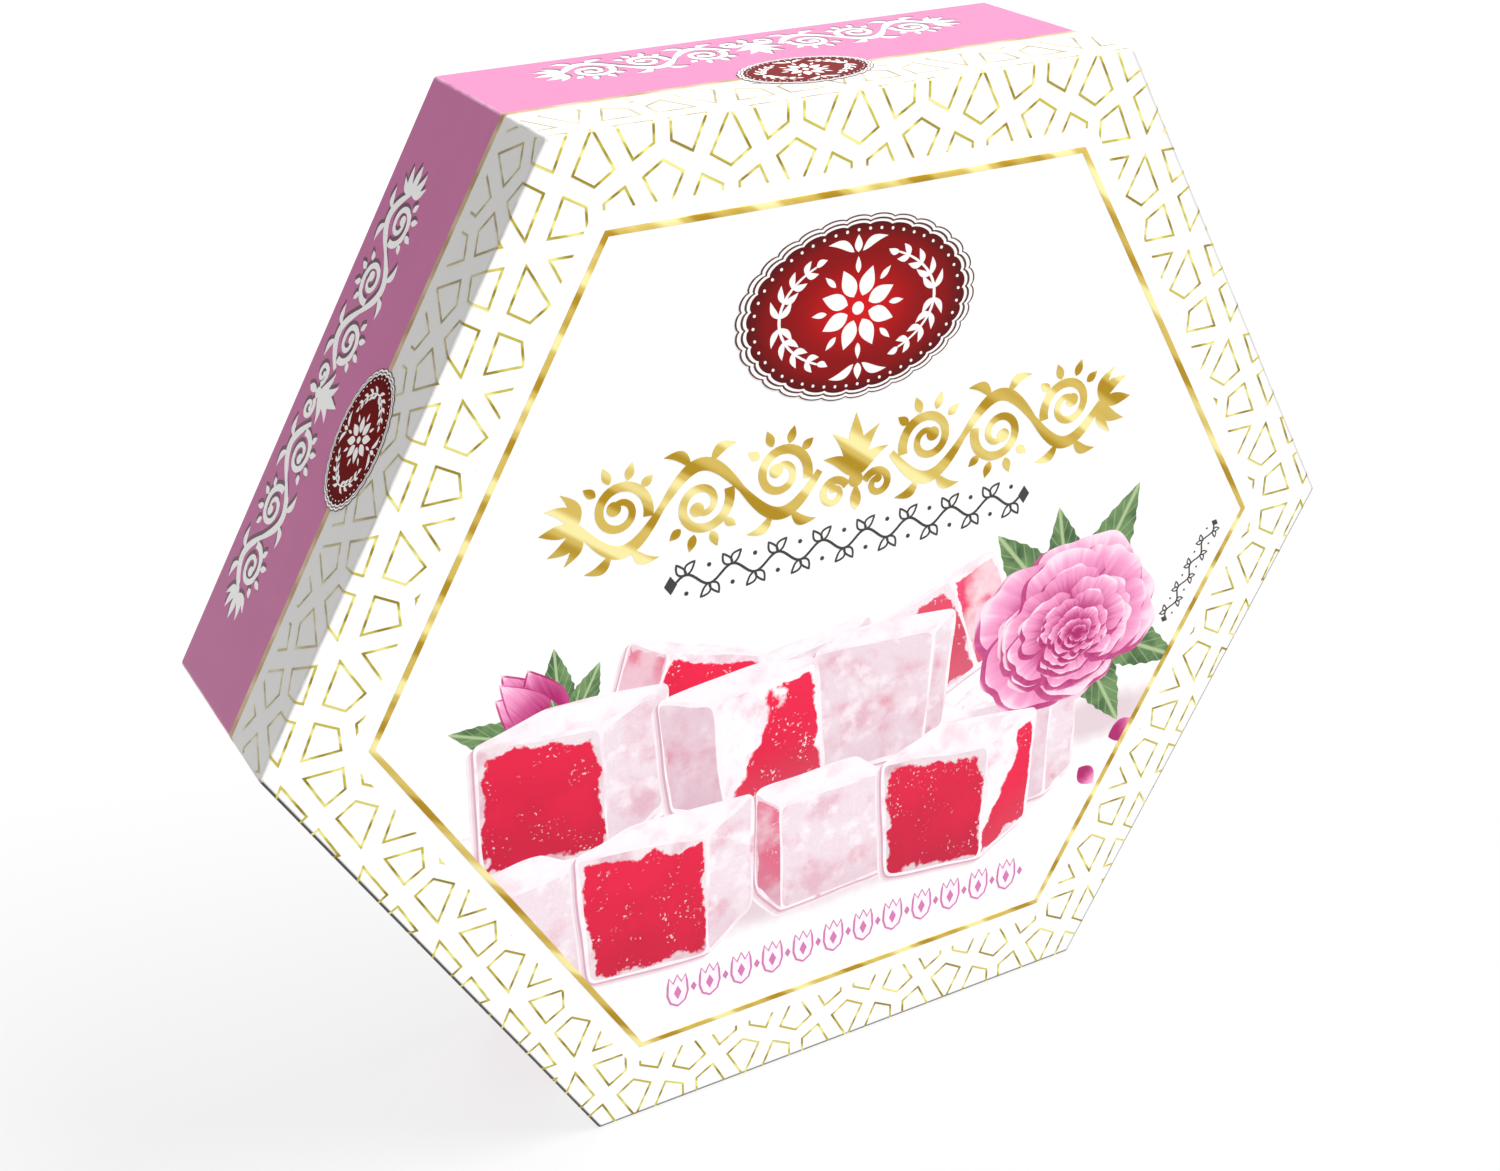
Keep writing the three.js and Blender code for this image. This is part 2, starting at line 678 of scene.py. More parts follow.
@dataclass(frozen=True)
class JellyFace(LocalFinish):
    """One face of a pictured rose jelly sweet: clear jelly under more or less starch.

    The eye gets glowing crimson where the face is freshly cut, blush where the starch is thin, and
    chalky lilac white where it lies thick, always with a ragged white rim along the edges.
    """

    deep: str = "#D2123A"
    dust: str = "#F7EDF2"
    stain: str = "#DDA9BA"
    chalk: str = "#FBF7F9"
    shadow: str = "#C48FA3"
    rim: float = 0.035
    bare_from: float = 0.6
    bare_to: float = 0.75
    slope: float = 0.0
    cover: float = 1.0
    foot: float = 0.3

    def _starch(self, tree: Nodes) -> Node:
        """The starch's own colour, with stains, chalky clouds, fine cracks and a faint grain.

        Args:
            tree: The material's node tree.

        Returns:
            The node that gives the colour.
        """
        starch = self.coat(tree, self.dust, self.stain, self.grain(tree, 6.5, 5.0), 0.47, 0.68, share=0.75)
        starch = self.coat(tree, starch, self.chalk, self.grain(tree, 3.4, 4.0), 0.5, 0.7, share=0.6)
        crack = reckon(tree, self.grain(tree, 3.1, 4.0), ("SUBTRACT", 0.5), ("ABSOLUTE",))
        starch = self.coat(tree, starch, self.stain, crack, 0.01, 0.0, share=0.25)
        return self.coat(tree, starch, self.chalk, self.grain(tree, 0.6), 0.45, 0.75, share=0.16)

    def _cover(self, tree: Nodes) -> Node:
        """Where starch hides the jelly: in a ragged rim, in patches and in clusters of grains.

        Args:
            tree: The material's node tree.

        Returns:
            The node that is 1 where the starch lies.
        """
        axes = self.local(tree)
        side, end = (reckon(tree, axes[name], ("PINGPONG", 0.5)) for name in ("X", "Y"))
        upper = add(tree, RANGE, (axes["Y"], 0.72, 1.0, 0.0, 0.05), **SMOOTH)
        edge = reckon(tree, side, ("MINIMUM", end), ("SUBTRACT", upper))
        for width, depth in ((5.0, 0.24), (0.9, 0.07)):
            wave = self.grain(tree, width, 4.0)
            edge = reckon(tree, wave, ("SUBTRACT", 0.5), ("MULTIPLY_ADD", depth, edge))
        rim = add(tree, RANGE, (edge, self.rim + 0.014, self.rim - 0.01), **SMOOTH)
        patchy = ("MULTIPLY_ADD", self.slope, self.grain(tree, 9.0, 6.0))
        bare = reckon(tree, axes["Y"], ("MULTIPLY_ADD", -0.6, axes["X"]), patchy)
        patches = add(tree, RANGE, (bare, self.bare_to, self.bare_from, 0.0, self.cover), **SMOOTH)
        clusters = add(tree, RANGE, (self.grain(tree, 4.0), 0.5, 0.62), **SMOOTH)
        grains = add(tree, RANGE, (self.grain(tree, 0.55, 1.0), 0.63, 0.72, 0.0, 0.8), **SMOOTH)
        return reckon(tree, grains, ("MULTIPLY", clusters), ("MAXIMUM", rim), ("MAXIMUM", patches))

    def surface(self, tree: Nodes) -> dict[str, Any]:
        """Shades the jelly, lays the starch over it and darkens the face by its tone.

        Args:
            tree: The material's node tree.

        Returns:
            What the shader's inputs get.
        """
        up = self.local(tree)["Y"]
        cloud = reckon(tree, up, ("MULTIPLY_ADD", -0.7, self.grain(tree, 8.0, 3.0)))
        jelly = self.coat(tree, self.colour, self.deep, cloud, -0.2, 0.55)
        shade = self.coat(tree, jelly, self._starch(tree), self._cover(tree))
        foot = add(tree, RANGE, (up, 0.5, -0.1, 0.0, self.foot), **SMOOTH)
        dark = reckon(tree, foot, ("ADD", self.local(tree, TONE_MAP)["Y"]))
        return super().surface(tree) | {"Base Color": self.coat(tree, shade, self.shadow, dark)}


@dataclass(frozen=True)
class Petal(LocalFinish):
    """A pictured rose petal: deep pink where it comes out from under the petals that lie on it, pale
    and rolled at its lip, and streaked along its length."""

    heart: str = "#A81E66"
    lip: str = "#FBDDEA"
    fold: str = "#D4649C"

    def surface(self, tree: Nodes) -> dict[str, Any]:
        """Grades the petal from its heart to its lip, and streaks it.

        Args:
            tree: The material's node tree.

        Returns:
            What the shader's inputs get.
        """
        axes = self.local(tree)
        tone = self.local(tree, TONE_MAP)
        across = reckon(tree, axes["X"], ("MULTIPLY", 5.5))
        fan = add(tree, "ShaderNodeCombineXYZ", (across, axes["Y"], tone["X"]))
        streak = add(tree, "ShaderNodeTexNoise", {"Vector": fan, "Scale": 1.6, "Detail": 4.0})
        along = reckon(tree, tone["Y"], ("MULTIPLY_ADD", -0.5, axes["Y"]))
        wavy = reckon(tree, streak, ("SUBTRACT", 0.5), ("MULTIPLY_ADD", 0.3, along))
        petal = self.coat(tree, self.heart, self.fold, wavy, 0.3, 0.74)
        petal = self.coat(tree, petal, self.colour, wavy, 0.56, 0.84)
        petal = self.coat(tree, petal, self.lip, wavy, 0.8, 1.0, share=0.9)
        curl = reckon(tree, axes["X"], ("ABSOLUTE",))
        petal = self.coat(tree, petal, self.fold, curl, 0.55, 1.05, share=0.45)
        petal = self.coat(tree, petal, self.lip, axes["Y"], 0.94, 0.98, share=0.75)
        return super().surface(tree) | {"Base Color": petal}


@dataclass(frozen=True)
class LeafGreen(LocalFinish):
    """The picture's leaf: matt green with a pale midrib and slanting veins."""

    vein: str = "#A9BE8E"
    deep: str = "#3F5F3A"
    vein_turns: float = 44.0

    def surface(self, tree: Nodes) -> dict[str, Any]:
        """Draws the midrib, the veins and the darker blotches.

        Args:
            tree: The material's node tree.

        Returns:
            What the shader's inputs get.
        """
        axes = self.local(tree)
        off = reckon(tree, axes["X"], ("ABSOLUTE",))
        slanting = ("MULTIPLY_ADD", -0.35, axes["Y"])
        ribs = reckon(tree, off, slanting, ("MULTIPLY", self.vein_turns), ("SINE",))
        ribs = add(tree, RANGE, (ribs, 0.8, 1.0, 0.0, 0.4), **SMOOTH)
        midrib = add(tree, RANGE, (off, 0.12, 0.03), **SMOOTH)
        veins = reckon(tree, ribs, ("MAXIMUM", midrib))
        body = self.coat(tree, self.colour, self.deep, self.grain(tree, 4.0, 3.0), 0.35, 0.7)
        return super().surface(tree) | {"Base Color": self.coat(tree, body, self.vein, veins)}


@dataclass(frozen=True)
class SoftShade(LocalFinish):
    """The picture's soft shadow on white powder, which fades into the bare board at its rim."""

    shadow: str = "#DCC9D0"

    def surface(self, tree: Nodes) -> dict[str, Any]:
        """Fades the shadow from the field's middle to its rim.

        Args:
            tree: The material's node tree.

        Returns:
            What the shader's inputs get.
        """
        powder = reckon(tree, self.grain(tree, 2.2, 5.0), ("MULTIPLY_ADD", 0.25, self.from_middle(tree)))
        shade = self.coat(tree, self.shadow, self.colour, powder, 0.45, 1.1)
        return super().surface(tree) | {"Base Color": shade}


@dataclass(frozen=True)
class Glowing(Finish):
    """A surface with an even glow of its own.

    The eye gets shadows that stay pale on a light table, and a white ink whose glow is painted
    light that keeps it bright in the shade.
    """

    glow: float = 0.1

    def surface(self, tree: Nodes) -> dict[str, Any]:
        """What the shader's inputs get, with the glow."""
        return super().surface(tree) | {"Emission Color": linear("#FFFFFF"), "Emission Strength": self.glow}


WHITE_BOARD = PrintedBoard("white_coated_board", "#F6F5F3", specular=0.3, mottle=0.012, crease="#CBC9C7")
PINK_BOARD = PrintedBoard("pink_offset_ink_on_board", "#D980B1", specular=0.12, crease="#EFC2DA")
# the dark and pale colours of each foil and gold ink below are painted shade and painted reflection
GOLD_FOIL = StampedFoil("gold_stamped_foil", "#D4B85E", dark="#B08C28", pale="#F7EAA5")
FINE = {"band": 9.0, "slant": 1.6}
LINE_FOIL = StampedFoil("gold_stamped_foil_fine", "#C4B84A", dark="#96842A", pale="#EDE68E", **FINE)
WALL_LINE_INK = StampedFoil(
    "gold_ink_fine", "#CABE92", roughness=0.4, metal=0.3, dark="#B0A272", pale="#E2DAB4", **FINE
)
WALL_INK = StampedFoil("gold_ink", "#D6B990", roughness=0.42, metal=0.4, dark="#C6A27A", pale="#E4CEAA")
SEAL_RED = SealRed("seal_red_ink", "#CC1016")
SEAL_MAROON = SealRed("seal_maroon_ink", "#84090C", specular=0.02, body="#780A0C", edge="#62080A")
SEAL_DARK = PrintedBoard("seal_outline_ink", "#4A1014", mottle=0.02)
SEAL_WHITE = PrintedBoard("seal_white_ink", "#F4F0EE", mottle=0.01)
BLACK_INK = PrintedBoard("black_offset_ink", "#2A2627", mottle=0.02)
# the white ink's glow is painted light that keeps it bright on the shaded walls
WHITE_INK_PAINTED_GLOW = Glowing("white_ink_with_painted_glow", "#F2F1F0", glow=0.14)
ORNAMENT_SHADOW = PrintedBoard("shadow_ink_on_pink", "#75485F", mottle=0.02)
ROSE_INK = PrintedBoard("rose_outline_ink", "#CE74AE", specular=0.2, mottle=0.02)
PALE_ROSE_INK = PrintedBoard("pale_rose_ink", "#FBEAF3", mottle=0.01)
PETAL = Petal("picture_rose_petal", "#EE9CC6")
LEAF_GREEN = LeafGreen("picture_leaf_green", "#6E8F5C")
SOFT_SHADE = SoftShade("picture_soft_shade", "#F6F5F6")
OPAL_TABLE = Glowing("opal_acrylic_table", "#666666", roughness=0.3, specular=0.2, glow=0.78)
CAST_SHADES = tuple(
    PrintedBoard(f"picture_cast_shade_{i}", colour, specular=0.2, mottle=0.05, mottle_grain=2.0)
    for i, colour in enumerate(("#F1E4E9", "#E6CDD6", "#D3A6B6"))
)


class Starch(Enum):
    """How much starch lies on a face of a pictured sweet, by the ink that prints it."""

    CUT = JellyFace("picture_cut_jelly", "#EA1844", bare_from=0.3, bare_to=0.32, foot=0.12, shadow="#8A1032")
    PART = JellyFace(
        "picture_half_dusted_jelly", "#E81C48", slope=0.75, bare_from=0.53, bare_to=0.58, foot=0.15
    )
    BLUSH = JellyFace(
        "picture_blush_jelly", "#EA4A70", deep="#DC3A60", cover=0.7, bare_from=0.42, bare_to=0.6
    )
    DUSTED = JellyFace("picture_dusted_jelly", "#DE93AA", dust="#E8D6DE", bare_from=0.58, bare_to=0.8)
    TOP = JellyFace(
        "picture_dusted_top", "#EBBDCB", dust="#F4ECF0", stain="#EBCFD9", foot=0.05, bare_from=0.66
    )


# Print: flat drawings and the sheets they become


@dataclass(frozen=True)
class Field:
    """One flat field of a drawing: its outline, its ink and its own two maps."""

    outline: Outline
    ink: Finish
    local: LocalMap = lambda x, y: (x, y)
    tone: Point = (0.0, 0.0)


@dataclass
class Sheet:
    """A drawing cut into faces that don't overlap, in millimetres of its own plane."""

    points: Outline = field(default_factory=list)
    faces: list[tuple[int, ...]] = field(default_factory=list)
    shown: list[Field] = field(default_factory=list)

    @classmethod
    def from_fields(cls, drawn: Sequence[Field], crop: Outline | None = None) -> Sheet:
        """Overlays fields, the last on top, and keeps what shows of each.

        Args:
            drawn: The fields.
            crop: An outline that the drawing is cut to.

        Returns:
            The sheet.
        """
        wide = 200.0
        step = 6.0  # the spacing of the points that let wide fields follow the board's bulge
        crop = crop or [(-wide, -wide), (wide, -wide), (wide, wide), (-wide, wide)]
        points: list[Vector] = []
        outlines: list[list[int]] = []
        for outline in [crop, *(f.outline for f in drawn)]:
            outlines.append(list(range(len(points), len(points) + len(outline))))
            points += [Vector(p) for p in outline]
        inked = [p for f in drawn for p in f.outline]
        low = [min(p[i] for p in inked) for i in (0, 1)]
        high = [max(p[i] for p in inked) for i in (0, 1)]
        columns, rows = (range(int((high[i] - low[i]) / step)) for i in (0, 1))
        for column, row in product(columns, rows):
            points.append(Vector((low[0] + (column + 0.5) * step, low[1] + (row + 0.5) * step)))
        cut_to_crop, tolerance = 1, 1e-5
        spots, _, faces, _, _, sources = delaunay_2d_cdt(points, [], outlines, cut_to_crop, tolerance, True)
        sheet = cls()
        numbers: dict[int, int] = {}
        for face, source in zip(faces, sources):
            if 0 not in source or len(source) < 2:
                continue
            for spot in face:
                if spot not in numbers:
                    numbers[spot] = len(sheet.points)
                    sheet.points.append(tuple(spots[spot]))
            sheet.faces.append(tuple(numbers[spot] for spot in face))
            sheet.shown.append(drawn[max(source) - 1])
        return sheet

    @classmethod
    def from_mesh(cls, mesh: Mesh, ink: Finish) -> Sheet:
        """Takes a flat mesh in its XY plane, drawn in millimetres, as a sheet of one ink."""
        faces = [tuple(p.vertices) for p in mesh.polygons]
        return cls([(v.co.x, v.co.y) for v in mesh.vertices], faces, [Field([], ink)] * len(faces))

    def joined(self, other: Sheet) -> Sheet:
        """This sheet and another, side by side in one drawing."""
        moved = [tuple(i + len(self.points) for i in face) for face in other.faces]
        return Sheet(self.points + other.points, self.faces + moved, self.shown + other.shown)

    def lay(self, name: str, place: Place, lift: float) -> Piece:
        """Lays the sheet on the carton as a closed skin with a face, a rim and an underside.

        Args:
            name: The piece's name.
            place: Where a point of the drawing lies.
            lift: How far its face stands off the board.

        Returns:
            The piece.
        """
        count = len(self.points)
        spots = [place(x, y, level) for level in (lift, -SINK) for x, y in self.points]
        edges = {(a, b) for face in self.faces for a, b in zip(face, face[1:] + face[:1])}
        faces: list[tuple[int, ...]] = []
        owners: list[Field] = []
        for face, shown in zip(self.faces, self.shown):
            sides = [side for side in zip(face, face[1:] + face[:1]) if side[::-1] not in edges]
            rims = [(b, a, a + count, b + count) for a, b in sides]
            faces += [face, tuple(i + count for i in reversed(face)), *rims]
            owners += [shown] * (2 + len(rims))
        mesh = skin(name, spots, faces, [owner.ink for owner in owners])
        if any(isinstance(owner.ink, LocalFinish) for owner in owners):
            self._map(mesh, owners)
        return put(name, mesh)

    def _map(self, mesh: Mesh, owners: Sequence[Field]) -> None:
        """Writes each field's local map and tone map on its faces.

        Args:
            mesh: The laid mesh, whose underside repeats the sheet's points.
            owners: The field that each face shows.
        """
        local = mesh.uv_layers.new(name=LOCAL_MAP)
        tone = mesh.uv_layers.new(name=TONE_MAP)
        for polygon, owner in zip(mesh.polygons, owners):
            for loop in polygon.loop_indices:
                point = self.points[mesh.loops[loop].vertex_index % len(self.points)]
                local.data[loop].uv = owner.local(*point)
                tone.data[loop].uv = owner.tone


def cut(mesh: Mesh, planes: Sequence[Plane]) -> Mesh:
    """Cuts a flat mesh along straight lines.

    Args:
        mesh: A mesh in its XY plane, which isn't changed.
        planes: For each line the way across it, how far along that it lies, and whether what is
            beyond is thrown away.

    Returns:
        The cut mesh.
    """
    work = bmesh.new()
    work.from_mesh(mesh)
    bmesh.ops.remove_doubles(work, verts=work.verts, dist=WELD)
    for direction, distance, clear in planes:
        normal = Vector((*direction, 0.0))
        plane = {"plane_co": normal * distance, "plane_no": normal, "clear_outer": clear}
        bmesh.ops.bisect_plane(work, geom=[*work.verts, *work.edges, *work.faces], dist=WELD, **plane)
    result = bpy.data.meshes.new(mesh.name + "_cut")
    work.to_mesh(result)
    work.free()
    return result


# Geometry Nodes


@dataclass
class Tree:
    """A Geometry Nodes tree with named inputs, and a way to run it once on a mesh."""

    name: str
    sizes: Mapping[str, float | int | Piece]
    ink: Finish

    def __post_init__(self) -> None:
        """Makes the empty tree and its sockets."""
        self.tree = bpy.data.node_groups.new(self.name, "GeometryNodeTree")
        kinds = {int: "NodeSocketInt", float: "NodeSocketFloat", Piece: "NodeSocketObject"}
        interface = self.tree.interface
        interface.new_socket("Geometry", in_out="INPUT", socket_type="NodeSocketGeometry")
        self.identifiers: dict[str, str] = {}
        for label, value in self.sizes.items():
            socket = interface.new_socket(label, in_out="INPUT", socket_type=kinds[type(value)])
            self.identifiers[label] = socket.identifier
        interface.new_socket("Geometry", in_out="OUTPUT", socket_type="NodeSocketGeometry")
        self.inputs = self.node("NodeGroupInput").outputs

    def node(self, kind: str, inputs: Any = (), **settings: Any) -> Node:
        """Adds a node to this tree."""
        return add(self.tree, kind, inputs, **settings)

    def repeat(self, label: str, points: Node) -> None:
        """Ends the tree with the object of this input on every point."""
        shape = self.node("GeometryNodeObjectInfo", (self.inputs[label],)).outputs["Geometry"]
        self.close(self.node("GeometryNodeInstanceOnPoints", {"Points": points, "Instance": shape}))

    def close(self, geometry: Node) -> None:
        """Ends the tree: instances are made real and the material is set.

        Args:
            geometry: The node that gives the result.
        """
        real = self.node("GeometryNodeRealizeInstances", (geometry,))
        fields = {"Geometry": real, "Material": self.ink.material()}
        self.node("NodeGroupOutput", (self.node("GeometryNodeSetMaterial", fields),))

    def run(self, mesh: Mesh) -> Mesh:
        """Runs the tree on a mesh.

        Args:
            mesh: What the tree starts from.

        Returns:
            The result as a plain mesh.
        """
        carrier = put(self.name, mesh)
        modifier = carrier.modifiers.new(self.name, "NODES")
        modifier.node_group = self.tree
        for label, value in self.sizes.items():
            modifier[self.identifiers[label]] = value
        evaluated = carrier.evaluated_get(bpy.context.evaluated_depsgraph_get())
        result = bpy.data.meshes.new_from_object(evaluated)
        carrier.modifiers.remove(modifier)
        bpy.data.objects.remove(carrier)
        return result


def flat_object(name: str, outlines: Sequence[Outline]) -> Piece:
    """A hidden object that holds flat faces, for a tree to repeat.

    Args:
        name: Its name.
        outlines: The faces, in the XY plane.

    Returns:
        The object, which isn't in the scene.
    """
    mesh = bpy.data.meshes.new(name)
    points = [(x, y, 0.0) for outline in outlines for x, y in outline]
    numbers = iter(range(len(points)))
    mesh.from_pydata(points, [], [tuple(next(numbers) for _ in outline) for outline in outlines])
    return bpy.data.objects.new(name, mesh)


def closed_path(name: str, points: Sequence[Vector]) -> Mesh:
    """A mesh of nothing but the edges of a closed path.

    Args:
        name: Its name.
        points: The path's points.

    Returns:
        The mesh.
    """
    mesh = bpy.data.meshes.new(name)
    mesh.from_pydata(points, [(i, (i + 1) % len(points)) for i in range(len(points))], [])
    return mesh


# The sub-assemblies


@dataclass(frozen=True)
class Board:
    """The folded board: front panel, six walls with their white and pink bands, and the back panel,
    which is pink round a white field."""

    form: CartonForm
    white_band: float = 13.5
    back_field: float = 78.8
    along_steps: int = 14
    corner_steps: int = 5
    fold_steps: int = 5
    panel_rings: int = 12
    innermost: float = 0.03
    support: float = 0.4
    # painted shade along each wall's front fold, from none to full: strongest at the lower folds, none on the
    # top wall
    painted_fold_shade: tuple[float, ...] = (0.0, 0.3, 1.0, 1.0, 0.85, 0.65)

    def _places(self) -> tuple[list[float], list[float]]:
        """Where a ring's points lie along a wall, from its middle.

        Returns:
            The places on its flat, and those round the corner after it.
        """
        half_arc, steps = self.form.half_arc, self.along_steps
        straight = self.form.side / 2 - half_arc
        held = straight - self.support
        flat = [-straight, *(held * (2 * i / steps - 1) for i in range(steps + 1)), straight]
        return flat, [straight + half_arc * (2 * i / self.corner_steps) for i in range(1, self.corner_steps)]

    def _ring(self, y: float) -> list[Vector]:
        """The points of the outline at one height of the walls' print.

        Args:
            y: The height, which is 0 at the front fold.

        Returns:
            The points.
        """
        side = self.form.side
        ring: list[Vector] = []
        for wall, x in product(range(WALLS), sum(self._places(), [])):
            past = x > side / 2
            ring.append(self.form.wall((wall + past) % WALLS, x - side * past, y))
        return ring

    def _panel(self, ring: list[Vector], share: float, front: bool) -> list[Vector]:
        """A ring of a panel, drawn in towards its middle and laid on its bulge.

        Args:
            ring: The ring at the panel's edge.
            share: How much of its size is kept.
            front: Whether the panel is the front one.

        Returns:
            The points.
        """
        inner: list[Vector] = []
        for point in ring:
            x, y = point.x / MM * share, (point.z / MM - self.form.apothem) * share
            inner.append(self.form.front(x, y) if front else self.form.back(-x, y))
        return inner

    def _rows(self) -> tuple[list[list[Vector]], int, range]:
        """Lays the rings from the front panel's middle, over the walls, to the back panel's.

        Returns:
            The rings, how many of them are the front panel's, and which rows of faces are pink.
        """
        form, radius = self.form, self.form.fold_radius
        shares = [1 - self.support / form.apothem]
        drawn_in = [((i + 1) / self.panel_rings) ** 0.9 for i in range(self.panel_rings)]
        shares += [1 - share * (1 - self.innermost) for share in drawn_in]
        turns = [radius - 2 * radius * i / self.fold_steps for i in range(self.fold_steps + 1)]
        last = radius + self.support - form.depth
        pink = last + self.white_band
        flat = [-radius - self.support, -self.white_band / 2, -self.white_band]
        flat += [-self.white_band + pink * i / 4 for i in range(1, 4)] + [last]
        heights = turns + flat + [-form.depth - y for y in reversed(turns)]
        walls = [self._ring(y) for y in heights]
        fronts = [self._panel(walls[0], share, True) for share in reversed(shares)]
        field_edge = self.back_field / form.side
        shares = sorted([*shares, field_edge], reverse=True)
        backs = [self._panel(walls[-1], share, False) for share in shares]
        first_pink = len(fronts) + heights.index(-self.white_band)
        pinks = range(first_pink, len(fronts) + len(walls) + shares.index(field_edge))
        return fronts + walls + backs, len(fronts), pinks

    def _mark_folds(self, mesh: Mesh, before: int, rows: int) -> None:
        """Writes how far each crease is worn, and how much painted shade lies along each front crease.

        Args:
            mesh: The board's mesh.
            before: How many rings come before the walls'.
            rows: How many rings the walls have.
        """
        flat, arc = self._places()
        corners = ([0.0] * len(flat) + [1.0] * len(arc)) * WALLS
        fold_shades: list[float] = []
        for here, after in zip(self.painted_fold_shade, self.painted_fold_shade[1:] + self.painted_fold_shade[:1]):
            fold_shades += [here] * len(flat) + [(here + after) / 2] * len(arc)
        fold = [sin(pi * i / self.fold_steps) for i in range(self.fold_steps + 1)]
        fold_wear = fold + [0.0] * (rows - 2 * len(fold)) + fold[::-1]
        unmarked = [0.0] * len(corners) * before
        wear = unmarked + [max(worn, corner) for worn in fold_wear for corner in corners]
        for name, values in ((WEAR, wear), (PAINTED_FOLD_SHADE, unmarked + fold_shades * len(fold))):
            values = values + [0.0] * (len(mesh.vertices) - len(values))
            mesh.attributes.new(name, "FLOAT", "POINT").data.foreach_set("value", values)

    def build(self) -> Piece:
        """Builds the board.

        Returns:
            The piece that stands for the carton.
        """
        rings, front_rings, pinks = self._rows()
        count = len(rings[0])
        points = [p for ring in rings for p in ring]
        points += [self.form.front(0.0, 0.0), self.form.back(0.0, 0.0)]
        rear = (len(rings) - 1) * count
        faces: list[tuple[int, ...]] = []
        for row, i in product(range(len(rings) - 1), range(count)):
            start, after = row * count, (i + 1) % count
            faces.append((start + count + i, start + count + after, start + after, start + i))
        inks = [PINK_BOARD if i // count in pinks else WHITE_BOARD for i in range(len(faces))]
        for i in range(count):
            after = (i + 1) % count
            faces += [(after, len(points) - 2, i), (rear + i, len(points) - 1, rear + after)]
        mesh = skin("board", points, faces, inks + [WHITE_BOARD] * 2 * count)
        mesh.polygons.foreach_set("use_smooth", [True] * len(faces))
        wall_rings = len(rings) - 2 * front_rings - 1
        self._mark_folds(mesh, front_rings, wall_rings)
        return put("board", mesh)


@dataclass(frozen=True)
class StarCells:
    """The cells round one star of the girih net, in millimetres from the star's middle.

    The net is a lattice of six-rayed stars. Straps of even width run between the cells, and a gold
    line follows the inside of each cell. Two upright kites and four wings lie round every star.
    """

    star_pitch: float = 20.47
    row_pitch: float = 16.86
    kite: tuple[Point, ...] = ((0.0, 1.31), (3.27, 7.65), (0.0, 9.74), (-3.27, 7.65))
    wing: tuple[Point, ...] = ((3.02, 1.26), (9.15, 1.26), (9.12, 4.99), (5.70, 6.96))
    line: float = 0.36

    def _line(self, corners: Outline) -> list[Outline]:
        """A gold line just inside a cell, mitred at its corners.

        Args:
            corners: The cell, counter-clockwise.

        Returns:
            One field for each side.
        """
        inner: Outline = []
        for i, corner in enumerate(corners):
            here = Vector(corner)
            back = (here - Vector(corners[i - 1])).normalized()
            ahead = (Vector(corners[(i + 1) % len(corners)]) - here).normalized()
            inward = Vector((-back.y, back.x)) + Vector((-ahead.y, ahead.x))
            inward *= self.line / (1 + back.dot(ahead))
            inner.append(tuple(here + inward))
        return [[corners[i - 1], corners[i], inner[i], inner[i - 1]] for i in range(len(corners))]

    def outlines(self) -> list[Outline]:
        """The lines of the six cells of one star.

        Returns:
            One field for each side of each cell.
        """
        cells: list[Outline] = []
        for cell in (self.kite, self.wing):
            cells += [list(cell), [(-x, -y) for x, y in cell]]
        cells += [mirrored(self.wing), [(x, -y) for x, y in reversed(self.wing)]]
        return [side for cell in cells for side in self._line(cell)]

    def net(self, columns: int, rows: int) -> Mesh:
        """The net, flat and centred, with its odd rows half a star to the side.

        Args:
            columns: Stars in a row.
            rows: Rows of stars; an odd number puts a row through the middle.

        Returns:
            The lines as flat faces.
        """
        star = flat_object("star_cells", self.outlines())
        pitches = {"Star Pitch": self.star_pitch, "Row Pitch": self.row_pitch}
        tree = Tree("girih_net", {"Star": star, **pitches, "Columns": columns, "Rows": rows}, LINE_FOIL)
        given, nodes = tree.inputs, tree.tree
        count = reckon(nodes, given["Columns"], ("MULTIPLY", given["Rows"]))
        points = tree.node("GeometryNodeMeshLine", {"Count": count})
        index = reckon(nodes, tree.node("GeometryNodeInputIndex"), ("ADD", 0.5))
        row = reckon(nodes, index, ("DIVIDE", given["Columns"]), ("FLOOR",))
        before = reckon(nodes, row, ("MULTIPLY", given["Columns"]))
        across, up = (reckon(nodes, given[name], ("DIVIDE", 2.0), ("FLOOR",)) for name in ("Columns", "Rows"))
        x = reckon(nodes, index, ("SUBTRACT", before), ("SUBTRACT", across))
        y = reckon(nodes, row, ("SUBTRACT", up))
        shift = ("PINGPONG", 1.0), ("MULTIPLY_ADD", -0.5, x)
        x = reckon(nodes, y, *shift, ("MULTIPLY", given["Star Pitch"]))
        y = reckon(nodes, y, ("MULTIPLY", given["Row Pitch"]))
        fields = {"Geometry": points, "Position": tree.node("ShaderNodeCombineXYZ", (x, y))}
        tree.repeat("Star", tree.node("GeometryNodeSetPosition", fields))
        return tree.run(bpy.data.meshes.new("girih_net"))


